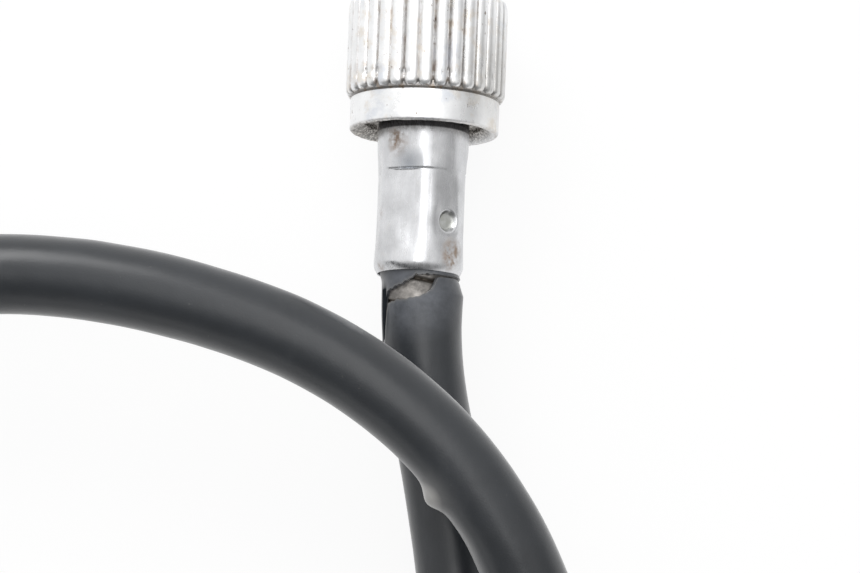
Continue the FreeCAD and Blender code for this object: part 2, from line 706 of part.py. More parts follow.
# Nothing is written unless every object holds and every piece is a sound solid
doc.recompute()
for item in doc.Objects:
    if any(state in ("Invalid", "Error") for state in item.State):
        raise RuntimeError(f"{item.Label} is in state {item.State}")
for piece in pieces:
    shape = piece.Shape
    if shape.isNull() or not shape.isValid() or not shape.Solids:
        raise RuntimeError(f"{piece.Label} is not a sound solid")
for piece in pieces:
    piece.Shape.exportStep(f"parts/{piece.Label}.step")
    print(piece.Label, round(piece.Shape.Volume, 2), "mm3")
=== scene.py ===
import math

import bmesh
import bpy
import numpy as np
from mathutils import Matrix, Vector, noise


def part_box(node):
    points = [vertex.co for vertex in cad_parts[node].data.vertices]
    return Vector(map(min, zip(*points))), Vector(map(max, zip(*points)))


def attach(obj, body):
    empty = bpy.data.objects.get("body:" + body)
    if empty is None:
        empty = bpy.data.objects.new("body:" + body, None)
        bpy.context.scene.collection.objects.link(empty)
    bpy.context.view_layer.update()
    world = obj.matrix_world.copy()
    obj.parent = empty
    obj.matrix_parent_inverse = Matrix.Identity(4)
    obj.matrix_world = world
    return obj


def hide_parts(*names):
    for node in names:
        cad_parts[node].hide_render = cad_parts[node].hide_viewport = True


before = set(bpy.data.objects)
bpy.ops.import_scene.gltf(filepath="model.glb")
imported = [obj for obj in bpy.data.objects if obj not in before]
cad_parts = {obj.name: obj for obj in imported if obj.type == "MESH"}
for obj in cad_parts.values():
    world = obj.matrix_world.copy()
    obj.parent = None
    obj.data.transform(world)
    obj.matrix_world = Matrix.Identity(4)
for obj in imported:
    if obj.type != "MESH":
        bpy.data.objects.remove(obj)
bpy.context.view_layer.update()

bl_info = {
    "name": "Instrument drive cable",
    "version": (1, 0, 0),
    "blender": (4, 5, 0),
    "location": "View3D > Sidebar > Drive Cable",
    "description": "Builds an instrument drive cable: sheath, conduits, union nuts, ferrules, cores",
    "category": "Object",
}

MM = 0.001
TAU = math.tau
ENDS = ("gauge", "drive")


# Places, from the frame: each end fitting's axis runs along +Y from its flange face.
# Lengths, places and radii are in millimetres.

NOSE_LENGTH = 3.0
LOW = 0
HIGH = 1


def end_origin(end):
    """The centre of an end's flange face, in metres."""
    low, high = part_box(f"{end}_ferrule")
    return Vector(((low.x + high.x) / 2, high.y - NOSE_LENGTH * MM, (low.z + high.z) / 2))


ORIGINS = {end: end_origin(end) for end in ENDS}


def from_face(node, corner, axis):
    """How far a corner of a gauge end's node is from the flange face's centre, along an axis."""
    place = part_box(f"gauge_{node}")[corner]
    return (getattr(place, axis) - getattr(ORIGINS["gauge"], axis)) / MM


FERRULE_REAR = from_face("ferrule", LOW, "y")
NUT_REAR = from_face("union_nut", LOW, "y")
NUT_MOUTH = from_face("union_nut", HIGH, "y")
NUT_CREST = from_face("union_nut", HIGH, "x")
CONDUIT_FRONT = from_face("conduit", HIGH, "y")
CONDUIT_ROOT = from_face("conduit", LOW, "y")
CONDUIT_RADIUS = from_face("conduit", HIGH, "x")
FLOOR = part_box("gauge_union_nut")[LOW].z / MM

# The sheath's route between the ferrules: across, back from the gauge end's ferrule, and
# how high the cable is lifted off the floor
ROUTE = [
    (3.0, 20.4, 2.46), (5.4, 34.9, 0.46), (4.8, 52.9, 0.0), (-2.6, 69.5, 0.0),
    (-16.8, 81.3, 0.0), (-34.6, 85.9, 0.0), (-53.0, 83.5, 0.0), (-69.0, 74.5, 0.0),
    (-80.0, 60.7, 0.0), (-84.0, 43.6, 0.16), (-80.0, 26.2, 1.66), (-69.3, 12.0, 5.26),
    (-54.4, 3.8, 9.26), (-36.8, 2.3, 12.46), (-22.0, 4.4, 14.06), (-7.6, 9.2, 14.66),
    (4.4, 18.2, 14.66), (12.3, 30.5, 12.66), (16.2, 45.5, 7.96), (15.6, 61.9, 3.06),
    (8.6, 77.5, 0.26), (-4.4, 89.5, 0.0), (-21.4, 94.9, 0.0), (-40.6, 95.8, 0.0),
    (-60.6, 93.5, 0.0), (-78.6, 85.3, 0.0), (-91.0, 70.7, 0.26), (-97.0, 52.5, 1.86),
]
LYING = -3.86             # height of the sheath's centre line where it lies on the floor
FIRST_RUN = 7.5           # straight run of sheath behind each ferrule
SHEATH_START = 1.6        # how far inside the ferrule the visible sheath begins

# The tear just behind the gauge end's ferrule. Each pair is an angle round the cable from
# straight up, in degrees, and how far behind the ferrule the edge lies there.
# Between TEAR_LEFT and TEAR_RIGHT, round the underside, the two edges are one.
TEAR_LEFT = -80.0
TEAR_RIGHT = 112.0
STUB_EDGE = [(-80, 6.50), (-78, 6.30), (-70, 4.50), (-65, 2.50), (-59, 1.81), (-45, 1.57),
             (-22, 1.12), (-2, 0.38), (20, 0.32), (60, 0.30), (100, 0.32), (112, 0.42)]
MAIN_EDGE = [(-80, 6.50), (-75, 6.42), (-66, 6.15), (-56, 4.20), (-50, 2.98), (-40, 2.82),
             (-13, 2.70), (8, 2.36), (22, 1.66), (30, 0.62), (60, 0.52), (100, 0.46), (112, 0.42)]
TEAR_STRETCH = 11.0       # how much of the sheath behind the ferrule is built finely
TEAR_SHIFT = 0.33         # how far the torn sheath sits to the right of the ferrule's axis
TONGUE_DEPTH = 0.16       # how far the tongue at the tear's left is pressed in

# How far the sheath swells at the right just behind the ferrule, as places and amounts
FLARE_PLACES = (0.3, 0.9, 2.1, 3.4, 5.2, 8.0)
FLARE_AMOUNTS = (-0.30, -0.10, 0.26, 0.16, 0.05, 0.0)

# Knocks in the sheath: how far along the route, the angle round it from straight up in degrees,
# the reach along it and the push outwards. The stretch that holds them is built finely.
SHEATH_KNOCKS = [(297.7, -72.0, 1.45, 0.85), (303.6, -74.0, 2.6, -0.16)]
KNOCKED_STRETCH = (291.0, 308.0)

# The ferrule's bore from the core's hole to the sheath's seat, and its outside from the flange
# past the seal's seat to the nose, as places from the flange face and radii
FERRULE_BORE = [(-4.6, 2.4), (-4.62, 3.15), (-7.6, 3.15), (-7.6, 3.47), (-16.7, 3.47),
                (-16.7, 3.85), (-18.9, 3.85), (FERRULE_REAR + 0.1, 3.85)]
FERRULE_FRONT = [(-1.8, 5.2), (-1.7, 5.3), (-0.5, 5.3), (-0.4, 5.2), (-0.4, 3.95), (0.0, 3.95),
                 (0.0, 3.35), (0.1, 3.25), (2.6, 3.25), (3.0, 2.85), (3.0, 2.4)]
CRIMP_FRONT = -9.4
CRIMP_REAR = -16.7
CRIMP_CORNER = 0.22       # how softly the hexagon's corners go over to the round
SAG_DEPTH = 0.36          # how far the shank sags ahead of a flat
LIP_LENGTH = 0.95
LIP_ROUND = 0.37          # how much smaller the rounded lip is at its rear

# The staked dimple
STAKE_PLACE = -14.15
STAKE_TURN = math.radians(42.0)     # from straight up, as the crimp's turn is
STAKE_RADIUS = 0.95
BOWL_DEPTH = 0.36
FUNNEL_DEPTH = 0.14
RIM_HEIGHT = 0.07

# Stains on the ferrule: across from its axis, along from its flange face, reach and strength
FERRULE_STAINS = [(-2.4, -7.0, 1.5, 0.8), (-2.7, -5.9, 1.2, 0.7), (3.25, -17.1, 1.7, 1.1),
                  (3.0, -18.1, 1.2, 0.8), (-3.7, -18.6, 0.8, 0.7), (-3.9, -13.5, 1.0, 0.35)]
STAIN_RADIUS = 4.3        # how far from the axis the stains are centred

# How finely the sheath is built: points round it at the tear, along the rest of it and in its
# bore, and the distance between its rings, plain, where it is knocked and in the bore
TEAR_SIDES = 192
SHEATH_SIDES = 96
BORE_SIDES = 48
RING_STEP = 0.95
KNOCKED_STEP = 0.4
BORE_STEP = 3.0
PATH_STEP = 0.8           # distance between the points that are read from the route
SHEATH_SMOOTH = 42.0      # edges of the sheath sharper than this stay hard, in degrees


# Settings that a user would change

def number(name, description, default, **limits):
    """A number property."""
    return bpy.props.FloatProperty(name=name, description=description, default=default, **limits)


def length(name, description, default):
    """A length property in millimetres."""
    return number(name, f"{description}, in millimetres", default, min=0.01)


def colour(name, description, default):
    """A colour property."""
    return bpy.props.FloatVectorProperty(
        name=name, description=description, default=default, subtype="COLOR", size=3,
        min=0.0, max=1.0)


class CableSheathSettings(bpy.types.PropertyGroup):
    diameter: length("Diameter", "Sheath's outside", 7.6)
    wall: length("Wall", "Sheath's wall", 0.65)
    tear_lift: length("Tear lift", "How far the torn edge stands up", 0.25)
    plastic: colour("Plastic", "Colour of the black plastic", (0.014, 0.0165, 0.020))
    scuff: colour("Scuff", "Colour where the plastic is rubbed", (0.055, 0.057, 0.063))
    bloom: colour("Bloom", "Colour of the dulled plastic beside the ferrule", (0.112, 0.120, 0.137))


class CableNutSettings(bpy.types.PropertyGroup):
    ribs: bpy.props.IntProperty(
        name="Ribs", description="Grip ribs round the nut", default=32, min=8, max=64)
    band_diameter: length("Band", "Plain band behind the ribs", 14.4)
    thread_diameter: length("Thread", "Outside of the thread", 12.0)
    thread_core: length("Thread core", "Core of the thread", 10.92)
    pitch: length("Pitch", "Pitch of the thread", 1.0)
    zinc: colour("Zinc", "Colour of the bright zinc", (0.92, 0.925, 0.93))
    dirt_and_shade: colour("Dirt", "Colour of the dirt in the valleys", (0.30, 0.225, 0.16))


class CableFerruleSettings(bpy.types.PropertyGroup):
    shank_diameter: length("Shank", "Ferrule's shank", 8.8)
    lip_diameter: length("Lip", "Ferrule's rear lip", 8.6)
    across_flats: length("Crimp", "Crimp's hexagon across its flats", 8.12)
    crimp_turn: number("Crimp turn", "Direction of the first flat from straight up",
                       math.radians(38.0), subtype="ANGLE")
    steel: colour("Steel", "Colour of the plated steel", (0.70, 0.705, 0.72))
    rust: colour("Rust", "Colour of the rust stains", (0.25, 0.165, 0.105))


class CableConduitSettings(bpy.types.PropertyGroup):
    pitch: length("Pitch", "Distance from one turn to the next", 2.5)
    groove: length("Groove", "Depth between two turns", 0.22)
    steel: colour("Steel", "Colour of the dulled strip", (0.35, 0.33, 0.31))


class CableStageSettings(bpy.types.PropertyGroup):
    ground: colour("Floor", "Colour of the floor", (0.93, 0.93, 0.93))
    ground_glow: number("Floor glow", "Share of the floor's white that shadows can't darken",
                        0.90, min=0.0, max=1.0, subtype="FACTOR")
    strip_power: number("Strip lamp", "Power of the long lamp overhead, in watts", 0.52, min=0.0)
    window_power: number("Window lamp", "Power of the lamp behind and to the left, in watts",
                         1.75, min=0.0)
    sky_left: number("Sky left", "Strength of the light from the left", 1.0, min=0.0)
    sky_right: number("Sky right", "Strength of the light from low at the right", 0.50, min=0.0)


# Small tools for shapes

def smoothstep(low, high, value):
    """0 up to low, 1 from high on, and an even rise between; low may be the larger one."""
    t = np.clip((value - low) / (high - low), 0.0, 1.0)
    return t * t * (3.0 - 2.0 * t)


def hump(value, centre, reach):
    """1 at the centre, falling to about a third at the reach and to nothing further out."""
    return np.exp(-((value - centre) / reach) ** 2)


def either_way(degrees):
    """Angles round the cable as -180 to 180 degrees from straight up."""
    return (degrees + 180.0) % 360.0 - 180.0


def ripple(points, scale, seed):
    """Smooth noise between about -1 and 1 at points in millimetres."""
    shift = Vector((seed * 17.3, seed * 5.1, seed * 9.7))
    return np.array([noise.noise(Vector(point) / scale + shift) for point in points])


def smooth(piece, angle):
    """Smooth shading, with edges sharper than the angle left hard."""
    mesh = piece.data
    mesh.shade_smooth()
    mesh.set_sharp_from_angle(angle=math.radians(angle))


def mesh_object(name, vertices, faces, smooth_angle=40.0):
    """A new object in the row frame from points in millimetres."""
    mesh = bpy.data.meshes.new(name)
    mesh.from_pydata((np.asarray(vertices) * MM).tolist(), [], faces)
    mesh.validate()
    piece = bpy.data.objects.new(name, mesh)
    bpy.context.scene.collection.objects.link(piece)
    smooth(piece, smooth_angle)
    return piece


def mark(piece, name, values):
    """Store a number at each point of a mesh for its material."""
    attribute = piece.data.attributes.new(name, "FLOAT", "POINT")
    attribute.data.foreach_set("value", np.asarray(values, dtype=np.float32))


def read_points(mesh):
    """A mesh's points, in metres."""
    points = np.empty(len(mesh.vertices) * 3)
    mesh.vertices.foreach_get("co", points)
    return points.reshape(-1, 3)


def weld(piece, indices):
    """Join the points that lie on one another among those given."""
    shape = bmesh.new()
    shape.from_mesh(piece.data)
    shape.verts.ensure_lookup_table()
    bmesh.ops.remove_doubles(shape, verts=[shape.verts[index] for index in indices], dist=1e-6)
    shape.to_mesh(piece.data)
    shape.free()


def turned_piece(name, end, places, radii, smooth_angle=40.0):
    """A piece turned about an end's axis: places and radii are arrays of (station, side)."""
    stations, sides = radii.shape
    angle = np.arange(sides) * TAU / sides
    centre = np.array(ORIGINS[end]) / MM
    points = np.empty((stations, sides, 3))
    points[:, :, 0] = centre[0] + radii * np.sin(angle)
    points[:, :, 1] = centre[1] + places
    points[:, :, 2] = centre[2] + radii * np.cos(angle)
    faces = []
    for station in range(stations):
        here = station * sides
        there = (station + 1) % stations * sides
        for side in range(sides):
            beside = (side + 1) % sides
            faces.append((here + side, here + beside, there + beside, there + side))
    return mesh_object(name, points.reshape(-1, 3), faces, smooth_angle)


class Profile:
    """Stations of a turned piece: radii all round, and numbers for the material."""

    def __init__(self, sides, *marks):
        self.sides = sides
        self.places = []
        self.radii = []
        self.marks = {name: [] for name in marks}

    def add(self, place, radius, **marks):
        """Add a station; a radius or a number may be one for all sides, or an array."""
        self.places.append(np.full(self.sides, place))
        self.radii.append(np.broadcast_to(radius, self.sides).astype(float))
        for name, values in self.marks.items():
            values.append(np.broadcast_to(marks.get(name, 0.0), self.sides).astype(float))

    def build(self, name, end):
        """The piece turned about an end's axis, with its numbers stored."""
        piece = turned_piece(name, end, np.array(self.places), np.array(self.radii))
        for attribute, values in self.marks.items():
            mark(piece, attribute, np.array(values).ravel())
        return piece


# Small tools for materials

def scaled(tone, share):
    """A colour made darker or lighter."""
    return [value * share for value in tone]


class Nodes:
    """The nodes of a material or a world, and short ways to add to them."""

    def __init__(self, holder, tone=None):
        self.holder = holder
        holder.use_nodes = True
        self.tree = holder.node_tree
        self.shader = self.tree.nodes.get("Principled BSDF")
        self.place = self.add("ShaderNodeTexCoord").outputs
        self.position = self.place["Object"]
        self.tone = tone

    def put(self, socket, value):
        """Set a socket, or join another socket to it."""
        if isinstance(value, bpy.types.NodeSocket):
            self.tree.links.new(value, socket)
        else:
            socket.default_value = value

    def add(self, kind, inputs=None, **settings):
        """A new node, with its settings and then its inputs."""
        node = self.tree.nodes.new(kind)
        for key, value in settings.items():
            setattr(node, key, value)
        for key, value in (inputs or {}).items():
            self.put(node.inputs[key], value)
        return node

    def noise(self, scale, detail=3.0, roughness=0.55, stretch=(1, 1, 1), shift=(0, 0, 0)):
        """Noise with the given number of lumps in a metre."""
        place = self.add("ShaderNodeMapping",
                         {"Vector": self.position, "Scale": stretch, "Location": shift})
        texture = self.add("ShaderNodeTexNoise", {"Vector": place.outputs["Vector"], "Scale": scale,
                                                  "Detail": detail, "Roughness": roughness})
        return texture.outputs["Fac"]

    def ramp(self, factor, low, high, start=0.0, stop=1.0):
        """A factor stretched so that low comes out as start and high as stop."""
        node = self.add("ShaderNodeMapRange", {"Value": factor, "From Min": low, "From Max": high,
                                               "To Min": start, "To Max": stop})
        return node.outputs["Result"]

    def patches(self, scale, detail, roughness, low, high, start=0.0, stop=1.0, **place):
        """Noise stretched so that low comes out as start and high as stop."""
        return self.ramp(self.noise(scale, detail, roughness, **place), low, high, start, stop)

    def maths(self, operation, first, second):
        return self.add("ShaderNodeMath", {0: first, 1: second}, operation=operation).outputs["Value"]

    def times(self, first, second):
        return self.maths("MULTIPLY", first, second)

    def plus(self, first, second):
        return self.maths("ADD", first, second)

    def blend(self, factor, first, second):
        """One colour going over to another."""
        first, second = [tone if isinstance(tone, bpy.types.NodeSocket) else (*tone, 1.0)
                         for tone in (first, second)]
        node = self.add("ShaderNodeMix", {"Factor": factor, "A": first, "B": second}, data_type="RGBA")
        return node.outputs["Result"]

    def lay(self, factor, tone):
        """Lay a colour over those that are there, as strongly as the factor says."""
        self.tone = self.blend(factor, self.tone, tone)

    def attribute(self, name):
        """A point attribute that the mesh carries."""
        return self.add("ShaderNodeAttribute", attribute_name=name).outputs["Fac"]

    def near(self, end, place, reach):
        """1 at a place, taken from an end's flange face, falling to 0 at the reach."""
        centre = ORIGINS[end] + Vector(place) * MM
        offset = self.add("ShaderNodeVectorMath", {0: self.position, 1: centre}, operation="DISTANCE")
        return self.ramp(offset.outputs["Value"], 0.0, reach * MM, 1.0, 0.0)

    def along(self, end, low, high, start=0.0, stop=1.0):
        """A ramp between two places along an end's axis, taken from its flange face."""
        parts = self.add("ShaderNodeSeparateXYZ", {"Vector": self.position})
        face = ORIGINS[end].y
        return self.ramp(parts.outputs["Y"], face + low * MM, face + high * MM, start, stop)

    def bump(self, height, distance, strength=1.0, under=None):
        """Relief by a distance in metres, over another relief where one is given."""
        inputs = {"Height": height, "Distance": distance, "Strength": strength}
        if under is not None:
            inputs["Normal"] = under
        return self.add("ShaderNodeBump", inputs).outputs["Normal"]

    def finish(self, **sockets):
        """Set the colour and the shader's other sockets, named with spaces as underscores."""
        self.put(self.shader.inputs["Base Color"], self.tone)
        for name, value in sockets.items():
            self.put(self.shader.inputs[name.replace("_", " ")], value)
        return self.holder


def new_finish(name, tone):
    """The nodes of a new material, with its first colour."""
    return Nodes(bpy.data.materials.new(name), tone)


# Materials

def sheath_plastic(settings):
    """Satin black PVC: faint grain and scuffs, paler in patches beside the ferrule, a painted
    highlight along the torn edges and on the outward knock, and painted shade on the tongue at the
    tear's left."""
    look = new_finish("sheath_plastic", settings.plastic)
    torn = look.attribute("torn")
    # Below zero, on the tongue, painted shade: no pale patches, sheen or specular reflection there
    shade = look.ramp(torn, -0.8, -0.05)
    cloud = look.noise(95.0, 4.0, 0.6)
    specks = look.patches(1900.0, 5.0, 0.7, 0.66, 0.74, 0.0, 0.22, shift=(0.3, 0.1, 0.7))
    rubbed = look.patches(240.0, 6.0, 0.65, 0.58, 0.76, 0.0, 0.25, stretch=(1.0, 0.35, 1.0))
    mottle = look.patches(620.0, 6.0, 0.65, 0.34, 0.66, 0.35, 1.0, shift=(0.5, 0.2, 0.1))
    # Paler, rougher and lumpier in mottled patches beside the ferrule
    beside = look.ramp(look.near("gauge", (-0.2, FERRULE_REAR - 2.0, 3.0), 6.2), 0.15, 0.75)
    bloom = look.times(look.times(beside, mottle), shade)
    look.lay(look.ramp(cloud, 0.35, 0.65), scaled(settings.plastic, 1.35))
    look.lay(rubbed, settings.scuff)
    look.lay(bloom, settings.bloom)
    look.lay(specks, (0.20, 0.19, 0.17))
    # Painted highlight: paler along the torn edges and on the outward knock, whitest in the knock's
    # middle
    look.lay(look.times(torn, 0.6), (0.13, 0.13, 0.13))
    look.lay(look.ramp(torn, 1.0, 2.2, 0.0, 0.9), (0.30, 0.295, 0.285))
    grain = look.bump(look.noise(5200.0), 0.00002, 0.45)
    swell = look.bump(look.noise(210.0, 2.0), 0.00012, 0.8, grain)
    return look.finish(Roughness=look.plus(look.ramp(cloud, 0.3, 0.7, 0.30, 0.40),
                                           look.times(bloom, 0.14)),
                       Normal=look.bump(mottle, 0.00006, look.times(bloom, 0.8), swell),
                       Specular_IOR_Level=look.times(shade, 0.58),
                       Sheen_Weight=look.times(shade, 0.42), Sheen_Roughness=0.36)


def wound_steel(settings):
    """Dull galvanised strip, dark in its grooves with grime and painted shade."""
    look = new_finish("wound_steel", settings.steel)
    cloud = look.noise(900.0, 5.0, 0.65)
    look.lay(look.ramp(cloud, 0.38, 0.62), scaled(settings.steel, 0.46))
    # Grime and painted shade in the grooves between the turns
    look.lay(look.times(look.attribute("groove"), 0.85), (0.06, 0.045, 0.03))
    return look.finish(Metallic=look.ramp(cloud, 0.3, 0.7, 0.75, 0.45),
                       Roughness=look.ramp(cloud, 0.3, 0.7, 0.3, 0.5),
                       Normal=look.bump(look.noise(4200.0), 0.00002, 0.7))


def nut_zinc(settings):
    """Bright zinc over a casting: mottled and chipped, brown in the valleys, with painted shade in
    them, in the groove behind the ribs and at the gauge end's right side, crusted behind, and painted
    shade in the recess."""
    look = new_finish("nut_zinc", settings.zinc)
    valley = look.attribute("valley")
    rear = look.attribute("rear")
    cloud = look.noise(420.0, 5.0, 0.6)
    streak = look.noise(1500.0, 4.0, 0.6, stretch=(1.0, 0.3, 1.0))
    tan = look.patches(520.0, 5.0, 0.62, 0.53, 0.69, 0.0, 0.5, shift=(0.4, 0.1, 0.2))
    cool = look.patches(300.0, 4.0, 0.6, 0.55, 0.68, 0.0, 0.45, shift=(0.1, 0.7, 0.3))
    spots = look.patches(1700.0, 5.0, 0.65, 0.48, 0.62, 0.12, 1.0, stretch=(1.0, 0.5, 1.0))
    stained = look.times(look.ramp(valley, 0.0, 1.0), spots)
    chips = look.patches(2100.0, 3.0, 0.6, 0.67, 0.72, 0.0, 0.8,
                         stretch=(1.0, 0.6, 1.0), shift=(0.7, 0.3, 0.9))
    # Painted shade, greyer towards the gauge end's right side
    right_side_shade = look.near("gauge", (7.2, 0.0, 3.5), 6.5)
    # Rough crusted rear face; its dark patches fill the recess too, where they are painted shade
    crust_and_shade = look.blend(look.patches(4200.0, 6.0, 0.7, 0.42, 0.56),
                       (0.80, 0.77, 0.73), (0.10, 0.085, 0.07))
    look.lay(look.ramp(cloud, 0.35, 0.7), scaled(settings.zinc, 0.88))
    look.lay(tan, (0.70, 0.60, 0.47))
    look.lay(cool, (0.58, 0.62, 0.70))
    # Painted shade: grey in the valleys, the groove behind the ribs, the thread and the web, as the
    # valley numbers say
    look.lay(look.times(valley, 0.34), (0.27, 0.265, 0.26))
    look.lay(look.times(stained, 0.6), settings.dirt_and_shade)
    look.lay(chips, (0.17, 0.12, 0.085))
    look.lay(look.ramp(right_side_shade, 0.05, 0.75, 0.0, 0.62), (0.50, 0.49, 0.47))
    look.lay(rear, crust_and_shade)
    pits = look.bump(look.noise(5200.0, 4.0, 0.6), 0.00003, 0.5)
    return look.finish(Metallic=look.maths("SUBTRACT", 0.94, look.times(rear, 0.55)),
                       Roughness=look.plus(look.ramp(streak, 0.35, 0.65, 0.26, 0.38),
                                           look.times(rear, 0.25)),
                       Normal=look.bump(cloud, 0.00010, 0.6, pits))


def ferrule_steel(settings, end):
    """Zinc-plated drawn steel with rust and pale bloom in places, grime on the dimple's floor with
    painted shade round its inner edge, a painted grey shade just ahead of the crimp, and a painted
    shadow where the nut's rear lies over it."""
    look = new_finish(f"{end}_ferrule_steel", settings.steel)
    cloud = look.noise(330.0, 5.0, 0.6)
    drawn = look.noise(2600.0, 3.0, 0.5, stretch=(1.0, 0.12, 1.0))
    speckle = look.patches(1500.0, 6.0, 0.68, 0.40, 0.60)
    bloom = look.patches(700.0, 6.0, 0.7, 0.60, 0.74, 0.0, 0.35, shift=(0.2, 0.6, 0.1))
    stains = 0.0
    for across, along, reach, strength in FERRULE_STAINS:
        height = math.sqrt(STAIN_RADIUS ** 2 - across ** 2)
        stain = look.near(end, (across, along, height), reach)
        stains = look.plus(stains, look.times(stain, strength))
    rusty = look.times(look.ramp(stains, 0.05, 0.7), speckle)
    staked = look.attribute("staked")
    # Painted shade: grey-blue just ahead of the crimp's front edge
    crimp_shade = look.times(look.near(end, (-1.3, CRIMP_FRONT + 0.4, 4.1), 2.0),
                      look.along(end, CRIMP_FRONT - 0.05, CRIMP_FRONT + 0.02))
    # Painted shadow of the nut's rear edge on the ferrule, fading out forwards
    nut_shadow = look.times(look.along(end, NUT_REAR - 0.13, NUT_REAR, 0.0, 0.93),
                         look.along(end, NUT_REAR + 1.1, NUT_REAR + 1.9, 1.0, 0.0))
    look.lay(look.ramp(cloud, 0.38, 0.68), scaled(settings.steel, 0.78))
    look.lay(look.times(rusty, 0.85), settings.rust)
    look.lay(bloom, (0.72, 0.70, 0.66))
    look.lay(look.times(staked, look.ramp(speckle, 0.0, 1.0, 0.45, 0.9)), (0.50, 0.51, 0.47))
    # Painted shade round the dimple's inner edge
    look.lay(look.attribute("crease_shade"), (0.07, 0.07, 0.065))
    look.lay(look.times(crimp_shade, 0.9), (0.30, 0.32, 0.35))
    look.lay(nut_shadow, (0.06, 0.06, 0.065))
    grime = look.plus(rusty, look.times(staked, 0.5))
    lines = look.bump(drawn, 0.000008, 0.5)
    return look.finish(Metallic=look.maths("SUBTRACT", 0.94, look.times(rusty, 0.6)),
                       Roughness=look.plus(look.ramp(drawn, 0.35, 0.65, 0.22, 0.33),
                                           look.times(grime, 0.35)),
                       Normal=look.bump(cloud, 0.00006, 0.4, lines))


def plain_steel(name, tone, roughness, stretch=(1, 1, 1)):
    """Bare or oiled steel with fine tool marks."""
    look = new_finish(name, tone)
    marks = look.noise(3400.0, 3.0, 0.5, stretch=stretch)
    look.lay(look.patches(650.0, 4.0, 0.6, 0.3, 0.7), scaled(tone, 0.7))
    return look.finish(Metallic=0.95,
                       Roughness=look.ramp(marks, 0.3, 0.7, roughness - 0.06, roughness + 0.08),
                       Normal=look.bump(marks, 0.00001, 0.6))


def sintered_bronze():
    """Porous, oil-dark bronze."""
    look = new_finish("sintered_bronze", (0.50, 0.34, 0.16))
    pores = look.noise(9000.0, 2.0)
    look.lay(look.patches(700.0, 4.0, 0.55, 0.3, 0.7), (0.33, 0.21, 0.10))
    return look.finish(Metallic=0.85, Roughness=look.ramp(pores, 0.3, 0.7, 0.38, 0.52),
                       Normal=look.bump(pores, 0.00002, 0.7))


def seal_rubber():
    """Black rubber with a grey bloom."""
    look = new_finish("seal_rubber", (0.018, 0.018, 0.018))
    cloud = look.noise(800.0, 5.0, 0.65)
    look.lay(look.ramp(cloud, 0.4, 0.75), (0.07, 0.07, 0.068))
    return look.finish(Roughness=look.ramp(cloud, 0.3, 0.7, 0.55, 0.75),
                       Normal=look.bump(look.noise(6000.0), 0.00001, 0.6))


def liner_plastic():
    """Milky plastic, darkened a little by grease."""
    look = new_finish("liner_plastic", (0.72, 0.71, 0.66))
    cloud = look.noise(900.0, 4.0)
    look.lay(look.ramp(cloud, 0.35, 0.7), (0.50, 0.46, 0.38))
    return look.finish(Roughness=look.ramp(cloud, 0.3, 0.7, 0.32, 0.45),
                       Subsurface_Weight=0.1, Subsurface_Scale=0.0008)


# Sheath

def sheath_points():
    """The route as control points in the row frame."""
    ends = {end: np.array(ORIGINS[end]) / MM for end in ENDS}
    inside = (0, FERRULE_REAR + SHEATH_START, 0)
    behind = (0, FERRULE_REAR - FIRST_RUN, 0)
    middle = [(across, FERRULE_REAR - back, LYING + lift) for across, back, lift in ROUTE]
    return [ends["gauge"] + inside, ends["gauge"] + behind, *middle,
            ends["drive"] + behind, ends["drive"] + inside]


def lengths_along(path):
    """How far along a path each of its points lies."""
    steps = np.linalg.norm(np.diff(path, axis=0), axis=1)
    return np.concatenate(([0.0], np.cumsum(steps)))


def read_path(points, step):
    """Even points along the smooth curve that the route's points control."""
    curve = bpy.data.curves.new("sheath_route", "CURVE")
    curve.dimensions = "3D"
    curve.resolution_u = 24
    spline = curve.splines.new("NURBS")
    spline.points.add(len(points) - 1)
    for control, point in zip(spline.points, points):
        control.co = (*(np.array(point) * MM), 1.0)
    spline.order_u = 3
    spline.use_endpoint_u = True
    holder = bpy.data.objects.new("sheath_route", curve)
    bpy.context.scene.collection.objects.link(holder)
    line = bpy.data.meshes.new_from_object(holder)
    raw = np.array([vertex.co for vertex in line.vertices]) / MM
    bpy.data.objects.remove(holder)
    bpy.data.meshes.remove(line)
    bpy.data.curves.remove(curve)
    along = lengths_along(raw)
    places = np.linspace(0.0, along[-1], int(round(along[-1] / step)) + 1)
    return np.stack([np.interp(places, along, raw[:, axis]) for axis in range(3)], axis=1)


def tube_frames(path):
    """Two unit vectors square to the path at each of its points, turning as little as they can."""
    tangents = np.gradient(path, axis=0)
    tangents /= np.linalg.norm(tangents, axis=1)[:, None]
    side = np.empty_like(path)
    up = np.empty_like(path)
    carried = np.array([0.0, 0.0, 1.0])
    for index, tangent in enumerate(tangents):
        carried = carried - tangent * (carried @ tangent)
        carried /= np.linalg.norm(carried)
        up[index] = carried
        side[index] = np.cross(carried, tangent)
    return side, up


class Route:
    """The cable's centre line, with its two cross directions, at any length along it."""

    def __init__(self, path):
        self.path = path
        self.side, self.up = tube_frames(path)
        self.along = lengths_along(path)
        self.length = self.along[-1]

    def read(self, values, place):
        return np.stack([np.interp(place, self.along, values[:, axis]) for axis in range(3)], axis=-1)

    def ring(self, place, angle, radius):
        """Points at lengths along the route, angles round it and radii, with outward directions."""
        place, angle, radius = np.broadcast_arrays(place, angle, radius)
        side = self.read(self.side, place)
        up = self.read(self.up, place)
        rim = side * np.sin(angle)[:, None] + up * np.cos(angle)[:, None]
        return self.read(self.path, place) + rim * radius[:, None], rim


def edge_line(pairs, degrees):
    """How far behind the ferrule an edge of the tear lies, at each angle round the cable."""
    turns, places = np.array(pairs, dtype=float).T
    turns = np.append(turns, (TEAR_RIGHT, TEAR_LEFT + 360.0))
    places = np.append(places, (places[-1], places[0]))
    return np.interp((degrees - TEAR_LEFT) % 360.0 + TEAR_LEFT, turns, places)


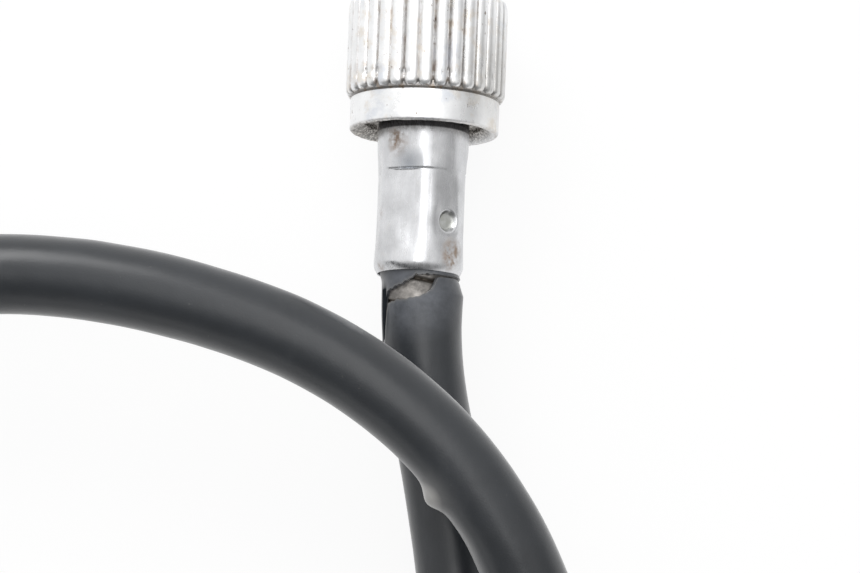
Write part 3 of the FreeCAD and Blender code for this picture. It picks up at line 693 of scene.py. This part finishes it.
def off_line(place, degrees):
    """How far the sheath's side stands off its even round, at places along the route."""
    behind = place - SHEATH_START
    aside = TEAR_SHIFT * (smoothstep(-0.8, 0.9, behind) + 0.35 * smoothstep(7.0, 20.0, behind))
    off = aside * smoothstep(70.0, 36.0, behind) * np.sin(np.radians(degrees))
    for along, side, reach, push in SHEATH_KNOCKS:
        off = off + push * hump(place, along, reach) * hump(either_way(degrees), side, 26.0)
    return off


def knock_highlight(place, degrees):
    """How strongly a painted highlight lies where the sheath is knocked outwards."""
    along, side, reach, _push = SHEATH_KNOCKS[0]
    return 3.2 * hump(place, along - 0.3, 1.25 * reach) * hump(either_way(degrees), side, 30.0)


def torn_radius(behind, edge, degrees, radius, lift):
    """The sheath's outside near the tear: lifted at the left, flared at the right."""
    turned = either_way(degrees)
    left = hump(turned, -25.0, 30.0) * hump(behind, edge, 1.1)
    right = hump(turned, 84.0, 36.0) * np.interp(behind, FLARE_PLACES, FLARE_AMOUNTS)
    return radius + lift * left + right


class Rings:
    """Rings of points along a tube, with faces between rings whose sides may differ in number."""

    def __init__(self):
        self.points = []
        self.rims = []
        self.marks = []
        self.faces = []
        self.total = 0

    def add(self, ring, number=0.0):
        """Add a ring of points with their outward directions, and a number for the material."""
        points, rim = ring
        self.points.append(points)
        self.rims.append(rim)
        self.marks.append(np.broadcast_to(number, len(points)).astype(float))
        self.total += len(points)
        return self.total - len(points), len(points)

    def bridge(self, fine, coarse, flip=False, open_sides=None):
        """Faces between two rings; the first has as many sides as the second, or a multiple."""
        (first, many), (second, few) = fine, coarse
        share = many // few
        for column in range(few):
            if open_sides is not None and not open_sides[column]:
                continue
            beside = (column + 1) % few
            face = [first + (column * share + step) % many for step in range(share + 1)]
            face += [second + beside, second + column]
            self.faces.append(face[::-1] if flip else face)


def build_sheath(settings):
    """The sheath as one tube along its route, torn open just behind the gauge end's ferrule."""
    radius = settings.diameter / 2
    bore = radius - settings.wall
    least = CONDUIT_RADIUS + 0.03
    route = Route(read_path(sheath_points(), PATH_STEP))
    degrees = np.arange(TEAR_SIDES) * 360.0 / TEAR_SIDES
    turned = either_way(degrees)
    angle = np.radians(degrees)
    stub_edge = edge_line(STUB_EDGE, degrees)
    main_edge = edge_line(MAIN_EDGE, degrees)
    gap = main_edge - stub_edge
    ragged = smoothstep(0.15, 0.7, gap)
    stub_edge = stub_edge + ragged * 0.05 * (np.sin(angle * 23) + np.sin(angle * 41 + 1.0))
    main_edge = main_edge + ragged * 0.04 * (np.sin(angle * 19 + 2.0) + np.sin(angle * 37))
    tongue = smoothstep(-52.0, -66.0, turned) * smoothstep(-92.0, -80.0, turned)
    apart = gap > 0.01
    open_sides = apart | np.roll(apart, -1)
    rings = Rings()

    def add(behind, reach, number=0.0):
        """A ring at places behind the ferrule, with one point for each angle."""
        return rings.add(route.ring(behind + SHEATH_START, angle, reach), number)

    def stub_place(share):
        """Places from the stub's start to its torn edge."""
        return -SHEATH_START + (stub_edge + SHEATH_START) * share

    def main_place(share):
        """Places from the other torn edge to the end of the finely built stretch."""
        return main_edge + (TEAR_STRETCH - main_edge) * share

    def main_outside(behind):
        return (torn_radius(behind, main_edge, degrees, radius, settings.tear_lift)
                + off_line(behind + SHEATH_START, degrees))

    stub = []
    for share in np.linspace(0.0, 1.0, 34):
        behind = stub_place(share)
        pressed = TONGUE_DEPTH * tongue * smoothstep(0.3, 2.5, behind)
        edge = smoothstep(0.25, 0.0, stub_edge - behind) * ragged
        # The number marks the painted highlight along the torn edge and, below zero, painted shade on
        # the tongue
        stub.append(add(behind, radius - pressed + off_line(behind + SHEATH_START, degrees),
                        edge * (1 - tongue) - tongue * smoothstep(0.6, 1.8, behind)))
    main = []
    for share in np.linspace(0.0, 1.0, 72) ** 1.5:
        behind = main_place(share)
        # The number marks the painted highlight along the torn edge
        main.append(add(behind, main_outside(behind),
                        smoothstep(0.28, 0.0, behind - main_edge) * ragged))
    coarse = np.arange(SHEATH_SIDES) * TAU / SHEATH_SIDES
    stops = (TEAR_STRETCH + SHEATH_START + 0.8, *KNOCKED_STRETCH, route.length)
    stretches = [np.linspace(low, high, int((high - low) / step), endpoint=False)
                 for low, high, step in zip(stops, stops[1:], (RING_STEP, KNOCKED_STEP, RING_STEP))]
    for place in np.concatenate((*stretches, [route.length])):
        ring = route.ring(place, coarse, radius + off_line(place, np.degrees(coarse)))
        # The number marks the painted highlight on the outward knock
        main.append(rings.add(ring, knock_highlight(place, np.degrees(coarse))))
    outside = rings.total

    inner_stub = []
    for share in np.linspace(0.0, 1.0, 8):
        behind = stub_place(share)
        inner = bore + off_line(behind + SHEATH_START, degrees)
        inner_stub.append(add(behind, np.maximum(inner, least)))
    inner_main = []
    for share in np.linspace(0.0, 1.0, 14) ** 1.5:
        behind = main_place(share)
        inner_main.append(add(behind, np.maximum(main_outside(behind) - settings.wall, least)))
    hidden = np.arange(BORE_SIDES) * TAU / BORE_SIDES
    for place in np.linspace(TEAR_STRETCH + SHEATH_START + 2.0, route.length,
                             int((route.length - TEAR_STRETCH) / BORE_STEP)):
        inner_main.append(rings.add(route.ring(place, hidden, bore)))

    for row, flip in ((stub, False), (main, False), (inner_stub, True), (inner_main, True)):
        for here, there in zip(row, row[1:]):
            rings.bridge(here, there, flip=flip)
    rings.bridge(inner_stub[0], stub[0])
    rings.bridge(main[-1], inner_main[-1])
    rings.bridge(stub[-1], inner_stub[-1], open_sides=open_sides)
    rings.bridge(main[0], inner_main[0], flip=True, open_sides=open_sides)

    points = np.concatenate(rings.points)
    skin = points[:outside]
    swell = ripple(skin, 9.0, 1) * 0.045 + ripple(skin, 3.1, 2) * 0.028
    skin += np.concatenate(rings.rims)[:outside] * swell[:, None]
    piece = mesh_object("sheath", points, rings.faces, SHEATH_SMOOTH)
    # These numbers carry the painted highlights and the tongue's painted shade
    mark(piece, "torn", np.concatenate(rings.marks))
    weld(piece, [index for first, count in (stub[-1], main[0], inner_stub[-1], inner_main[0])
                 for index in range(first, first + count)])
    smooth(piece, SHEATH_SMOOTH)
    return piece, route.path


class CABLE_OT_sheath(bpy.types.Operator):
    """Build the black sheath along its route, with the tear beside the gauge end"""
    bl_idname = "cable.sheath"
    bl_label = "Sheath"

    def execute(self, context):
        settings = context.scene.cable_sheath
        piece, path = build_sheath(settings)
        piece.data.materials.append(sheath_plastic(settings))
        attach(piece, "casing")
        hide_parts("outer_sheath")
        run = float(np.linalg.norm(np.diff(path, axis=0), axis=1).sum())
        [tuple(point * MM) for point in path]
        return {"FINISHED"}


# Wound conduit

SEAM_PLACE = FERRULE_REAR - 0.72


def build_conduit(end, settings):
    """The strip's turns as a helical swell and groove along a tube."""
    sides = 96
    per_turn = 24
    wall = 0.9
    stations = int((CONDUIT_FRONT - CONDUIT_ROOT) / settings.pitch * per_turn)
    place = np.linspace(CONDUIT_ROOT, CONDUIT_FRONT, stations)[:, None]
    angle = (np.arange(sides) * TAU / sides)[None, :]
    phase = ((place - SEAM_PLACE) / settings.pitch + angle / TAU) % 1.0
    across = np.abs(phase - 0.5) * 2.0
    depth = settings.groove * smoothstep(0.78, 1.0, across) + 0.05 * across ** 2
    radii = np.concatenate((CONDUIT_RADIUS - depth, np.full((2, sides), CONDUIT_RADIUS - wall)))
    places = np.concatenate((np.broadcast_to(place, (stations, sides)),
                             np.full((1, sides), CONDUIT_FRONT), np.full((1, sides), CONDUIT_ROOT)))
    piece = turned_piece(f"{end}_wound_conduit", end, places, radii, smooth_angle=60.0)
    groove = np.concatenate((smoothstep(0.72, 0.97, across), np.zeros((2, sides))))
    mark(piece, "groove", groove.ravel())
    return piece


class CABLE_OT_conduits(bpy.types.Operator):
    """Build the wound steel conduit at both ends"""
    bl_idname = "cable.conduits"
    bl_label = "Conduits"

    def execute(self, context):
        settings = context.scene.cable_conduit
        material = wound_steel(settings)
        for end in ENDS:
            piece = build_conduit(end, settings)
            piece.data.materials.append(material)
            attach(piece, "casing")
            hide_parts(f"{end}_conduit")
        return {"FINISHED"}


# Union nuts

BAND_LENGTH = 3.2
BAND_EDGE = 0.3           # radius of the band's rounded rear edge
RECESS_RADIUS = 5.7
RECESS_SINK = 0.8         # how far the rear face sinks towards the recess
WEB_REAR = NUT_REAR + 1.2
WEB_FRONT = WEB_REAR + 1.6
WEB_BORE = 4.6
RIB_CROWN = 1.5           # how much of the ribs rounds off towards the mouth
THREAD_LEAD = 0.6
CRUST_HEIGHT = 0.085      # how far the rough rear face stands up and down


def build_nut(end, settings):
    """A cast nut: rounded ribs with ball-shaped ends, a plain band, a rough recess and a thread."""
    sides = settings.ribs * 20
    angle = np.arange(sides) * TAU / sides
    ribs_passed = angle * settings.ribs / TAU
    space = ribs_passed.astype(int)
    draw = np.random.default_rng(5)
    wide = draw.uniform(0.92, 1.12, settings.ribs)[space]
    ball = draw.uniform(0.55, 0.95, settings.ribs)[space]
    neck = (draw.uniform(0.0, 1.0, settings.ribs) ** 2 * 0.34)[space]
    from_crest = 1.0 - np.abs(ribs_passed % 1.0 - 0.5) * 2.0
    from_crest = np.clip(from_crest * wide, 0.0, 1.0)
    band = settings.band_diameter / 2
    band_front = NUT_REAR + BAND_LENGTH
    rib_rear = band_front + 0.10
    crown_rear = NUT_MOUTH - RIB_CROWN
    # The valley number marks painted shade and brown stains: in the valleys, the groove behind the
    # ribs, under the band's rolled edge, in the thread and at the web
    nut = Profile(sides, "valley", "rear")

    def ribbed(place):
        """Radius round the nut at a place in the ribs."""
        behind = np.clip((rib_rear + ball - place) / ball, 0.0, None)
        ahead = max(0.0, (place - crown_rear) / RIB_CROWN)
        waist = neck * hump(place, rib_rear + 1.9 * ball, 0.34)
        body = 1.0 - from_crest ** 2.3 - behind ** 2.0 - 0.72 * ahead ** 2.4 - waist
        return band + (NUT_CREST - band) * np.sqrt(np.clip(body, 0.0, None))

    crusted = 0.5 - 0.35 * np.sin(angle)
    for share in np.linspace(0.0, 0.9, 7):
        nut.add(NUT_REAR + RECESS_SINK * (1 - share) ** 1.5,
                RECESS_RADIUS + (band - BAND_EDGE - RECESS_RADIUS) * share,
                rear=1.0 + (crusted - 1.0) * share)
    for share in np.linspace(0.0, 1.0, 7):
        turn = share * math.pi / 2
        nut.add(NUT_REAR + BAND_EDGE * (1 - math.cos(turn)), band - BAND_EDGE * (1 - math.sin(turn)),
                valley=0.7 * (1 - share), rear=crusted * (1 - share))
    for place in np.linspace(NUT_REAR + BAND_EDGE + 0.3, band_front - 0.35, 6):
        nut.add(place, band)
    # The groove between the band and the ribs: place, how deep it is cut, and how much painted shade
    # and brown stain it gets
    for ahead, cut, dirt_and_shade in ((-0.14, 0.01, 0.2), (-0.06, 0.12, 1.5), (0.02, 0.15, 3.0),
                             (0.09, 0.08, 3.0)):
        nut.add(band_front + ahead, band - cut, valley=dirt_and_shade)
    for ahead in np.linspace(0.0, 2.5, 32):
        # Painted shade and brown stain gather at the ribs' ends and in the pockets between them
        rim = np.clip(3.0 - ahead / 0.05, 0.0, 3.0)
        pocket = 2.2 * smoothstep(0.5, 0.9, from_crest) * max(0.0, 1 - ahead)
        nut.add(rib_rear + ahead, ribbed(rib_rear + ahead),
                valley=np.clip(from_crest * 1.3 - 0.45, 0, 1) + rim + pocket)
    for place in (*np.linspace(rib_rear + 2.9, crown_rear, 10),
                  *np.linspace(crown_rear + 0.15, NUT_MOUTH - 0.12, 10)):
        nut.add(place, ribbed(place), valley=np.clip(from_crest * 1.5 - 0.75, 0, 1))
    nut.add(NUT_MOUTH, ribbed(NUT_MOUTH) - 0.12)

    core = settings.thread_core / 2
    depth = (settings.thread_diameter - settings.thread_core) / 2
    nut.add(NUT_MOUTH, core + THREAD_LEAD + 0.05)
    for place in np.arange(NUT_MOUTH - 0.05, WEB_FRONT + 0.9, -settings.pitch / 8):
        phase = (place / settings.pitch + angle / TAU) % 1.0
        cut = np.clip(1.15 - np.abs(phase - 0.5) * 2.6, 0.0, 1.0)
        chamfer = core + max(0.0, THREAD_LEAD - (NUT_MOUTH - place))
        nut.add(place, np.maximum(core + depth * cut, chamfer), valley=0.15)
    for place, radius in ((WEB_FRONT + 0.75, core + depth * 0.9),
                          (WEB_FRONT + 0.05, core + depth * 0.9), (WEB_FRONT, core),
                          (WEB_FRONT, WEB_BORE + 0.1), (WEB_FRONT - 0.1, WEB_BORE)):
        nut.add(place, radius, valley=0.5)
    # In the recess the rear number lays the crusted finish, whose dark patches are painted shade there
    nut.add(WEB_REAR + 0.1, WEB_BORE, rear=0.6)
    for share in (0.0, 0.35, 0.7, 1.0):
        nut.add(WEB_REAR, WEB_BORE + 0.1 + (RECESS_RADIUS - 0.12 - WEB_BORE) * share, rear=1.0)
    for share in (0.1, 0.4, 0.7):
        nut.add(WEB_REAR + (NUT_REAR + RECESS_SINK - WEB_REAR) * share, RECESS_RADIUS, rear=1.0)

    piece = nut.build(f"{end}_ribbed_nut", end)
    roughen(piece, np.array(nut.marks["rear"]).ravel(), CRUST_HEIGHT, 3)
    return piece


def roughen(piece, weights, amount, seed):
    """Push points along their normals by uneven noise where the weights say."""
    mesh = piece.data
    points = read_points(mesh)
    normals = np.empty(len(points) * 3)
    mesh.vertex_normals.foreach_get("vector", normals)
    chosen = np.flatnonzero(weights > 0.01)
    lump = ripple(points[chosen] / MM, 0.9, seed) + 0.6 * ripple(points[chosen] / MM, 0.32, seed + 1)
    push = lump * amount * weights[chosen] * MM
    points[chosen] += normals.reshape(-1, 3)[chosen] * push[:, None]
    mesh.vertices.foreach_set("co", points.ravel())


class CABLE_OT_union_nuts(bpy.types.Operator):
    """Build the ribbed union nut at both ends"""
    bl_idname = "cable.union_nuts"
    bl_label = "Union Nuts"

    def execute(self, context):
        settings = context.scene.cable_nut
        material = nut_zinc(settings)
        for end in ENDS:
            piece = build_nut(end, settings)
            piece.data.materials.append(material)
            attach(piece, f"{end}_nut")
            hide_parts(f"{end}_union_nut")
        return {"FINISHED"}


# Ferrules

def build_ferrule(end, settings):
    """A turned ferrule with its pressed hexagon, staked dimple and rounded lip."""
    sides = 320
    angle = np.arange(sides) * TAU / sides
    shank = settings.shank_diameter / 2
    lip = settings.lip_diameter / 2
    turn = (angle - settings.crimp_turn + TAU / 12) % (TAU / 6) - TAU / 12
    flats = settings.across_flats / 2 / np.cos(turn)
    from_first = np.abs((angle - settings.crimp_turn + math.pi) % TAU - math.pi)
    sharp = smoothstep(0.50, 0.72, from_first)
    front_run = 0.11 + 1.5 * (1.0 - sharp)
    ferrule = Profile(sides)

    def shank_radius(place):
        """Radius round the ferrule between its flange and its rear lip. The crimp starts sharply,
        with a sag ahead of it, except on the first flat, and ends softly."""
        around = lip + (shank - lip) * smoothstep(CRIMP_FRONT, CRIMP_FRONT + 0.3, place)
        pressed = smoothstep(CRIMP_FRONT + front_run, CRIMP_FRONT - front_run, place)
        pressed *= smoothstep(CRIMP_REAR - 1.5, CRIMP_REAR + 2.4, place)
        sag = hump(place, CRIMP_FRONT, 1.4) * smoothstep(0.46, 0.10, np.abs(turn))
        around = around - SAG_DEPTH * sag * (place > CRIMP_FRONT) * sharp
        share = np.clip((flats - around) / CRIMP_CORNER * 0.5 + 0.5, 0.0, 1.0)
        hexagon = around * share + flats * (1 - share) - CRIMP_CORNER * 0.5 * share * (1 - share)
        return around + (hexagon - around) * pressed

    for place, radius in FERRULE_BORE:
        ferrule.add(place, radius)
    for share in np.linspace(0.0, 1.0, 12):
        ferrule.add(FERRULE_REAR + LIP_LENGTH * share, lip - LIP_ROUND * (1 - share) ** 2)
    fine = np.arange(STAKE_PLACE - 1.5, STAKE_PLACE + 1.5, 0.06)
    for place in (*np.linspace(FERRULE_REAR + 1.1, fine[0] - 0.12, 22), *fine,
                  *np.linspace(fine[-1] + 0.12, CRIMP_FRONT - 0.5, 22),
                  *np.linspace(CRIMP_FRONT - 0.4, CRIMP_FRONT + 0.5, 24),
                  *np.linspace(CRIMP_FRONT + 0.7, -2.1, 24)):
        ferrule.add(place, shank_radius(place))
    for place, radius in ((-1.9, shank + 0.02), (-1.8, shank + 0.12), *FERRULE_FRONT):
        ferrule.add(place, radius)

    piece = ferrule.build(f"{end}_crimped_ferrule", end)
    stake(piece, end, settings)
    return piece


def stake(piece, end, settings):
    """Press the round dimple into the first flat, right of its middle, with a wide funnel round
    it and an uneven rim, and mark its floor and the painted shade round its inner edge, strongest
    towards the upper left."""
    points = read_points(piece.data)
    axis = np.array((math.sin(STAKE_TURN), 0.0, math.cos(STAKE_TURN)))
    across = np.array((axis[2], 0.0, -axis[0]))
    centre = np.array(ORIGINS[end]) + np.array((0.0, STAKE_PLACE * MM, 0.0))
    centre += axis * settings.across_flats / 2 * MM
    offset = (points - centre) / MM
    sideways = offset @ across
    away = np.hypot(sideways * 1.15, offset[:, 1])
    reached = (offset @ axis > -1.2) & (away < 3.0)
    bearing = np.arctan2(offset[:, 1], sideways)
    wall = STAKE_RADIUS + 0.07 * np.sin(bearing * 2 + 0.6)
    bowl = BOWL_DEPTH * smoothstep(wall + 0.26, wall - 0.24, away)
    funnel = FUNNEL_DEPTH * smoothstep(2.2, 0.7, away + 0.2 * sideways)
    rim = RIM_HEIGHT * hump(away, wall + 0.32, 0.20) * (0.55 + 0.45 * np.cos(bearing + 0.9))
    lump = 0.05 * ripple(points[reached] / MM, 0.42, 8) * smoothstep(1.0, 0.5, away[reached])
    points[reached] += axis * ((rim - bowl - funnel)[reached] + lump)[:, None] * MM
    piece.data.vertices.foreach_set("co", points.ravel())
    floor = smoothstep(wall + 0.12, wall - 0.15, away)
    # Painted shade round the dimple's inner edge, strongest towards the upper left
    crease_shade = hump(away, wall, 0.17) * (0.45 - 0.45 * np.cos(bearing + 0.5))
    mark(piece, "staked", np.where(reached, floor, 0.0))
    mark(piece, "crease_shade", np.where(reached, crease_shade, 0.0))


class CABLE_OT_ferrules(bpy.types.Operator):
    """Build the crimped ferrule at both ends"""
    bl_idname = "cable.ferrules"
    bl_label = "Ferrules"

    def execute(self, context):
        settings = context.scene.cable_ferrule
        for end in ENDS:
            piece = build_ferrule(end, settings)
            piece.data.materials.append(ferrule_steel(settings, end))
            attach(piece, "casing")
            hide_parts(f"{end}_ferrule")
        return {"FINISHED"}


# Pieces that keep their shape and get a finish

class CABLE_OT_small_pieces(bpy.types.Operator):
    """Finish the cores, collars, washers, seals, bushes and liners of both ends"""
    bl_idname = "cable.small_pieces"
    bl_label = "Small Pieces"

    def execute(self, context):
        spring_steel = plain_steel("core_steel", (0.42, 0.42, 0.43), 0.32, (1.0, 1.0, 0.2))
        washer_steel = plain_steel("washer_steel", (0.50, 0.50, 0.50), 0.36)
        finishes = {
            "core": spring_steel,
            "core_collar": spring_steel,
            "core_washer": washer_steel,
            "thrust_washer": washer_steel,
            "core_bush": sintered_bronze(),
            "face_seal": seal_rubber(),
            "liner": liner_plastic(),
        }
        for end in ENDS:
            for name, material in finishes.items():
                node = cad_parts[f"{end}_{name}"]
                node.data.materials.clear()
                node.data.materials.append(material)
                smooth(node, 30.0)
        return {"FINISHED"}


# Stage

WHITE = (1.0, 1.0, 1.0, 1.0)
FLOOR_REACH = 3000.0

# The view: what the camera looks at, and from where
VIEW_TARGET = Vector((1.2, -20.1, 0.0)) * MM
VIEW_ELEVATION = math.radians(81.0)
VIEW_ROLL = math.radians(2.3)
VIEW_DISTANCE = 459.0 * MM
VIEW_LENS = 200.0
VIEW_SENSOR = 36.0


def build_floor(settings):
    """A wide pale floor that turns white for the camera and keeps the cable's shadow."""
    corners = [(across * FLOOR_REACH, along * FLOOR_REACH, FLOOR)
               for across, along in ((-1, -1), (1, -1), (1, 1), (-1, 1))]
    floor = mesh_object("floor", corners, [(0, 1, 2, 3)])
    look = new_finish("floor_white", settings.ground)
    look.lay(look.patches(60.0, 4.0, 0.55, 0.3, 0.7), scaled(settings.ground, 0.985))
    rays = look.add("ShaderNodeLightPath").outputs
    seen = look.maths("MAXIMUM", look.maths("MAXIMUM", rays["Is Camera Ray"], rays["Is Glossy Ray"]),
                      rays["Is Transmission Ray"])
    glow = look.add("ShaderNodeEmission", {"Color": WHITE, "Strength": 1.0})
    mix = look.add("ShaderNodeMixShader", {"Fac": look.times(seen, settings.ground_glow),
                                           1: look.shader.outputs["BSDF"],
                                           2: glow.outputs["Emission"]})
    look.put(look.tree.nodes["Material Output"].inputs["Surface"], mix.outputs["Shader"])
    floor.data.materials.append(look.finish(Roughness=0.9, Specular_IOR_Level=0.1))


def build_lamp(name, size, power, place, aim):
    """One soft lamp, its size in metres, at a place and pointing at another."""
    lamp = bpy.data.lights.new(name, "AREA")
    lamp.shape = "RECTANGLE"
    lamp.size, lamp.size_y = size
    lamp.energy = power
    holder = bpy.data.objects.new(name, lamp)
    holder.location = place
    holder.rotation_euler = (Vector(aim) - holder.location).to_track_quat("-Z", "Y").to_euler()
    bpy.context.scene.collection.objects.link(holder)


def build_lights(settings):
    """A pale surround, dimmer at the right and at the near side, and two soft lamps."""
    world = bpy.data.worlds.new("studio")
    bpy.context.scene.world = world
    look = Nodes(world)
    parts = look.add("ShaderNodeSeparateXYZ", {"Vector": look.place["Generated"]}).outputs
    sides = look.ramp(parts["X"], 0.62, 0.96, settings.sky_left, settings.sky_right)
    facing_back = look.ramp(parts["Y"], -0.15, -0.6)
    above = look.ramp(parts["Z"], 0.05, 0.35)
    shade = look.times(look.times(facing_back, above), 0.75)
    pale = look.tree.nodes["Background"].inputs
    look.put(pale["Color"], WHITE)
    look.put(pale["Strength"], look.times(sides, look.maths("SUBTRACT", 1.0, shade)))
    build_lamp("strip_lamp", (0.22, 0.50), settings.strip_power, (0.02, 0.07, 0.50),
               (0.0, -0.01, 0.0))
    build_lamp("window_lamp", (0.36, 0.30), settings.window_power, (-0.28, 0.45, 0.42),
               (-0.02, -0.03, 0.0))


def build_camera():
    """The photograph's view, from almost straight above."""
    camera = bpy.data.cameras.new("camera")
    camera.lens = VIEW_LENS
    camera.sensor_width = VIEW_SENSOR
    camera.clip_start = 0.01
    camera.clip_end = 20.0
    holder = bpy.data.objects.new("camera", camera)
    towards = Vector((0.0, math.cos(VIEW_ELEVATION), -math.sin(VIEW_ELEVATION)))
    holder.location = VIEW_TARGET - towards * VIEW_DISTANCE
    facing = towards.to_track_quat("-Z", "Y").to_matrix()
    right = facing.col[0] * math.cos(VIEW_ROLL) + facing.col[1] * math.sin(VIEW_ROLL)
    up = facing.col[1] * math.cos(VIEW_ROLL) - facing.col[0] * math.sin(VIEW_ROLL)
    facing.col[0] = right
    facing.col[1] = up
    holder.rotation_euler = facing.to_euler()
    bpy.context.scene.collection.objects.link(holder)
    bpy.context.scene.camera = holder


class CABLE_OT_stage(bpy.types.Operator):
    """Set up the floor, the light and the camera"""
    bl_idname = "cable.stage"
    bl_label = "Stage"

    def execute(self, context):
        settings = context.scene.cable_stage
        build_floor(settings)
        build_lights(settings)
        build_camera()
        context.scene.view_settings.view_transform = "Standard"
        return {"FINISHED"}


# Panel and registration

class CABLE_PT_panel(bpy.types.Panel):
    """Lists the cable's pieces in the order in which they are built"""
    bl_idname = "CABLE_PT_panel"
    bl_label = "Drive Cable"
    bl_space_type = "VIEW_3D"
    bl_region_type = "UI"
    bl_category = "Drive Cable"

    def draw(self, context):
        for operator in OPERATORS:
            self.layout.operator(operator.bl_idname)


SETTINGS = {
    "cable_sheath": CableSheathSettings,
    "cable_conduit": CableConduitSettings,
    "cable_nut": CableNutSettings,
    "cable_ferrule": CableFerruleSettings,
    "cable_stage": CableStageSettings,
}
OPERATORS = (
    CABLE_OT_stage,
    CABLE_OT_sheath,
    CABLE_OT_conduits,
    CABLE_OT_union_nuts,
    CABLE_OT_ferrules,
    CABLE_OT_small_pieces,
)


def register():
    for group in SETTINGS.values():
        bpy.utils.register_class(group)
    for name, group in SETTINGS.items():
        setattr(bpy.types.Scene, name, bpy.props.PointerProperty(type=group))
    for operator in OPERATORS:
        bpy.utils.register_class(operator)
    bpy.utils.register_class(CABLE_PT_panel)


def unregister():
    bpy.utils.unregister_class(CABLE_PT_panel)
    for operator in reversed(OPERATORS):
        bpy.utils.unregister_class(operator)
    for name, group in SETTINGS.items():
        delattr(bpy.types.Scene, name)
        bpy.utils.unregister_class(group)


def main():
    register()
    bpy.ops.cable.stage()
    bpy.ops.cable.sheath()
    bpy.ops.cable.conduits()
    bpy.ops.cable.union_nuts()
    bpy.ops.cable.ferrules()
    bpy.ops.cable.small_pieces()
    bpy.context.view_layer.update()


if __name__ == "__main__":
    main()
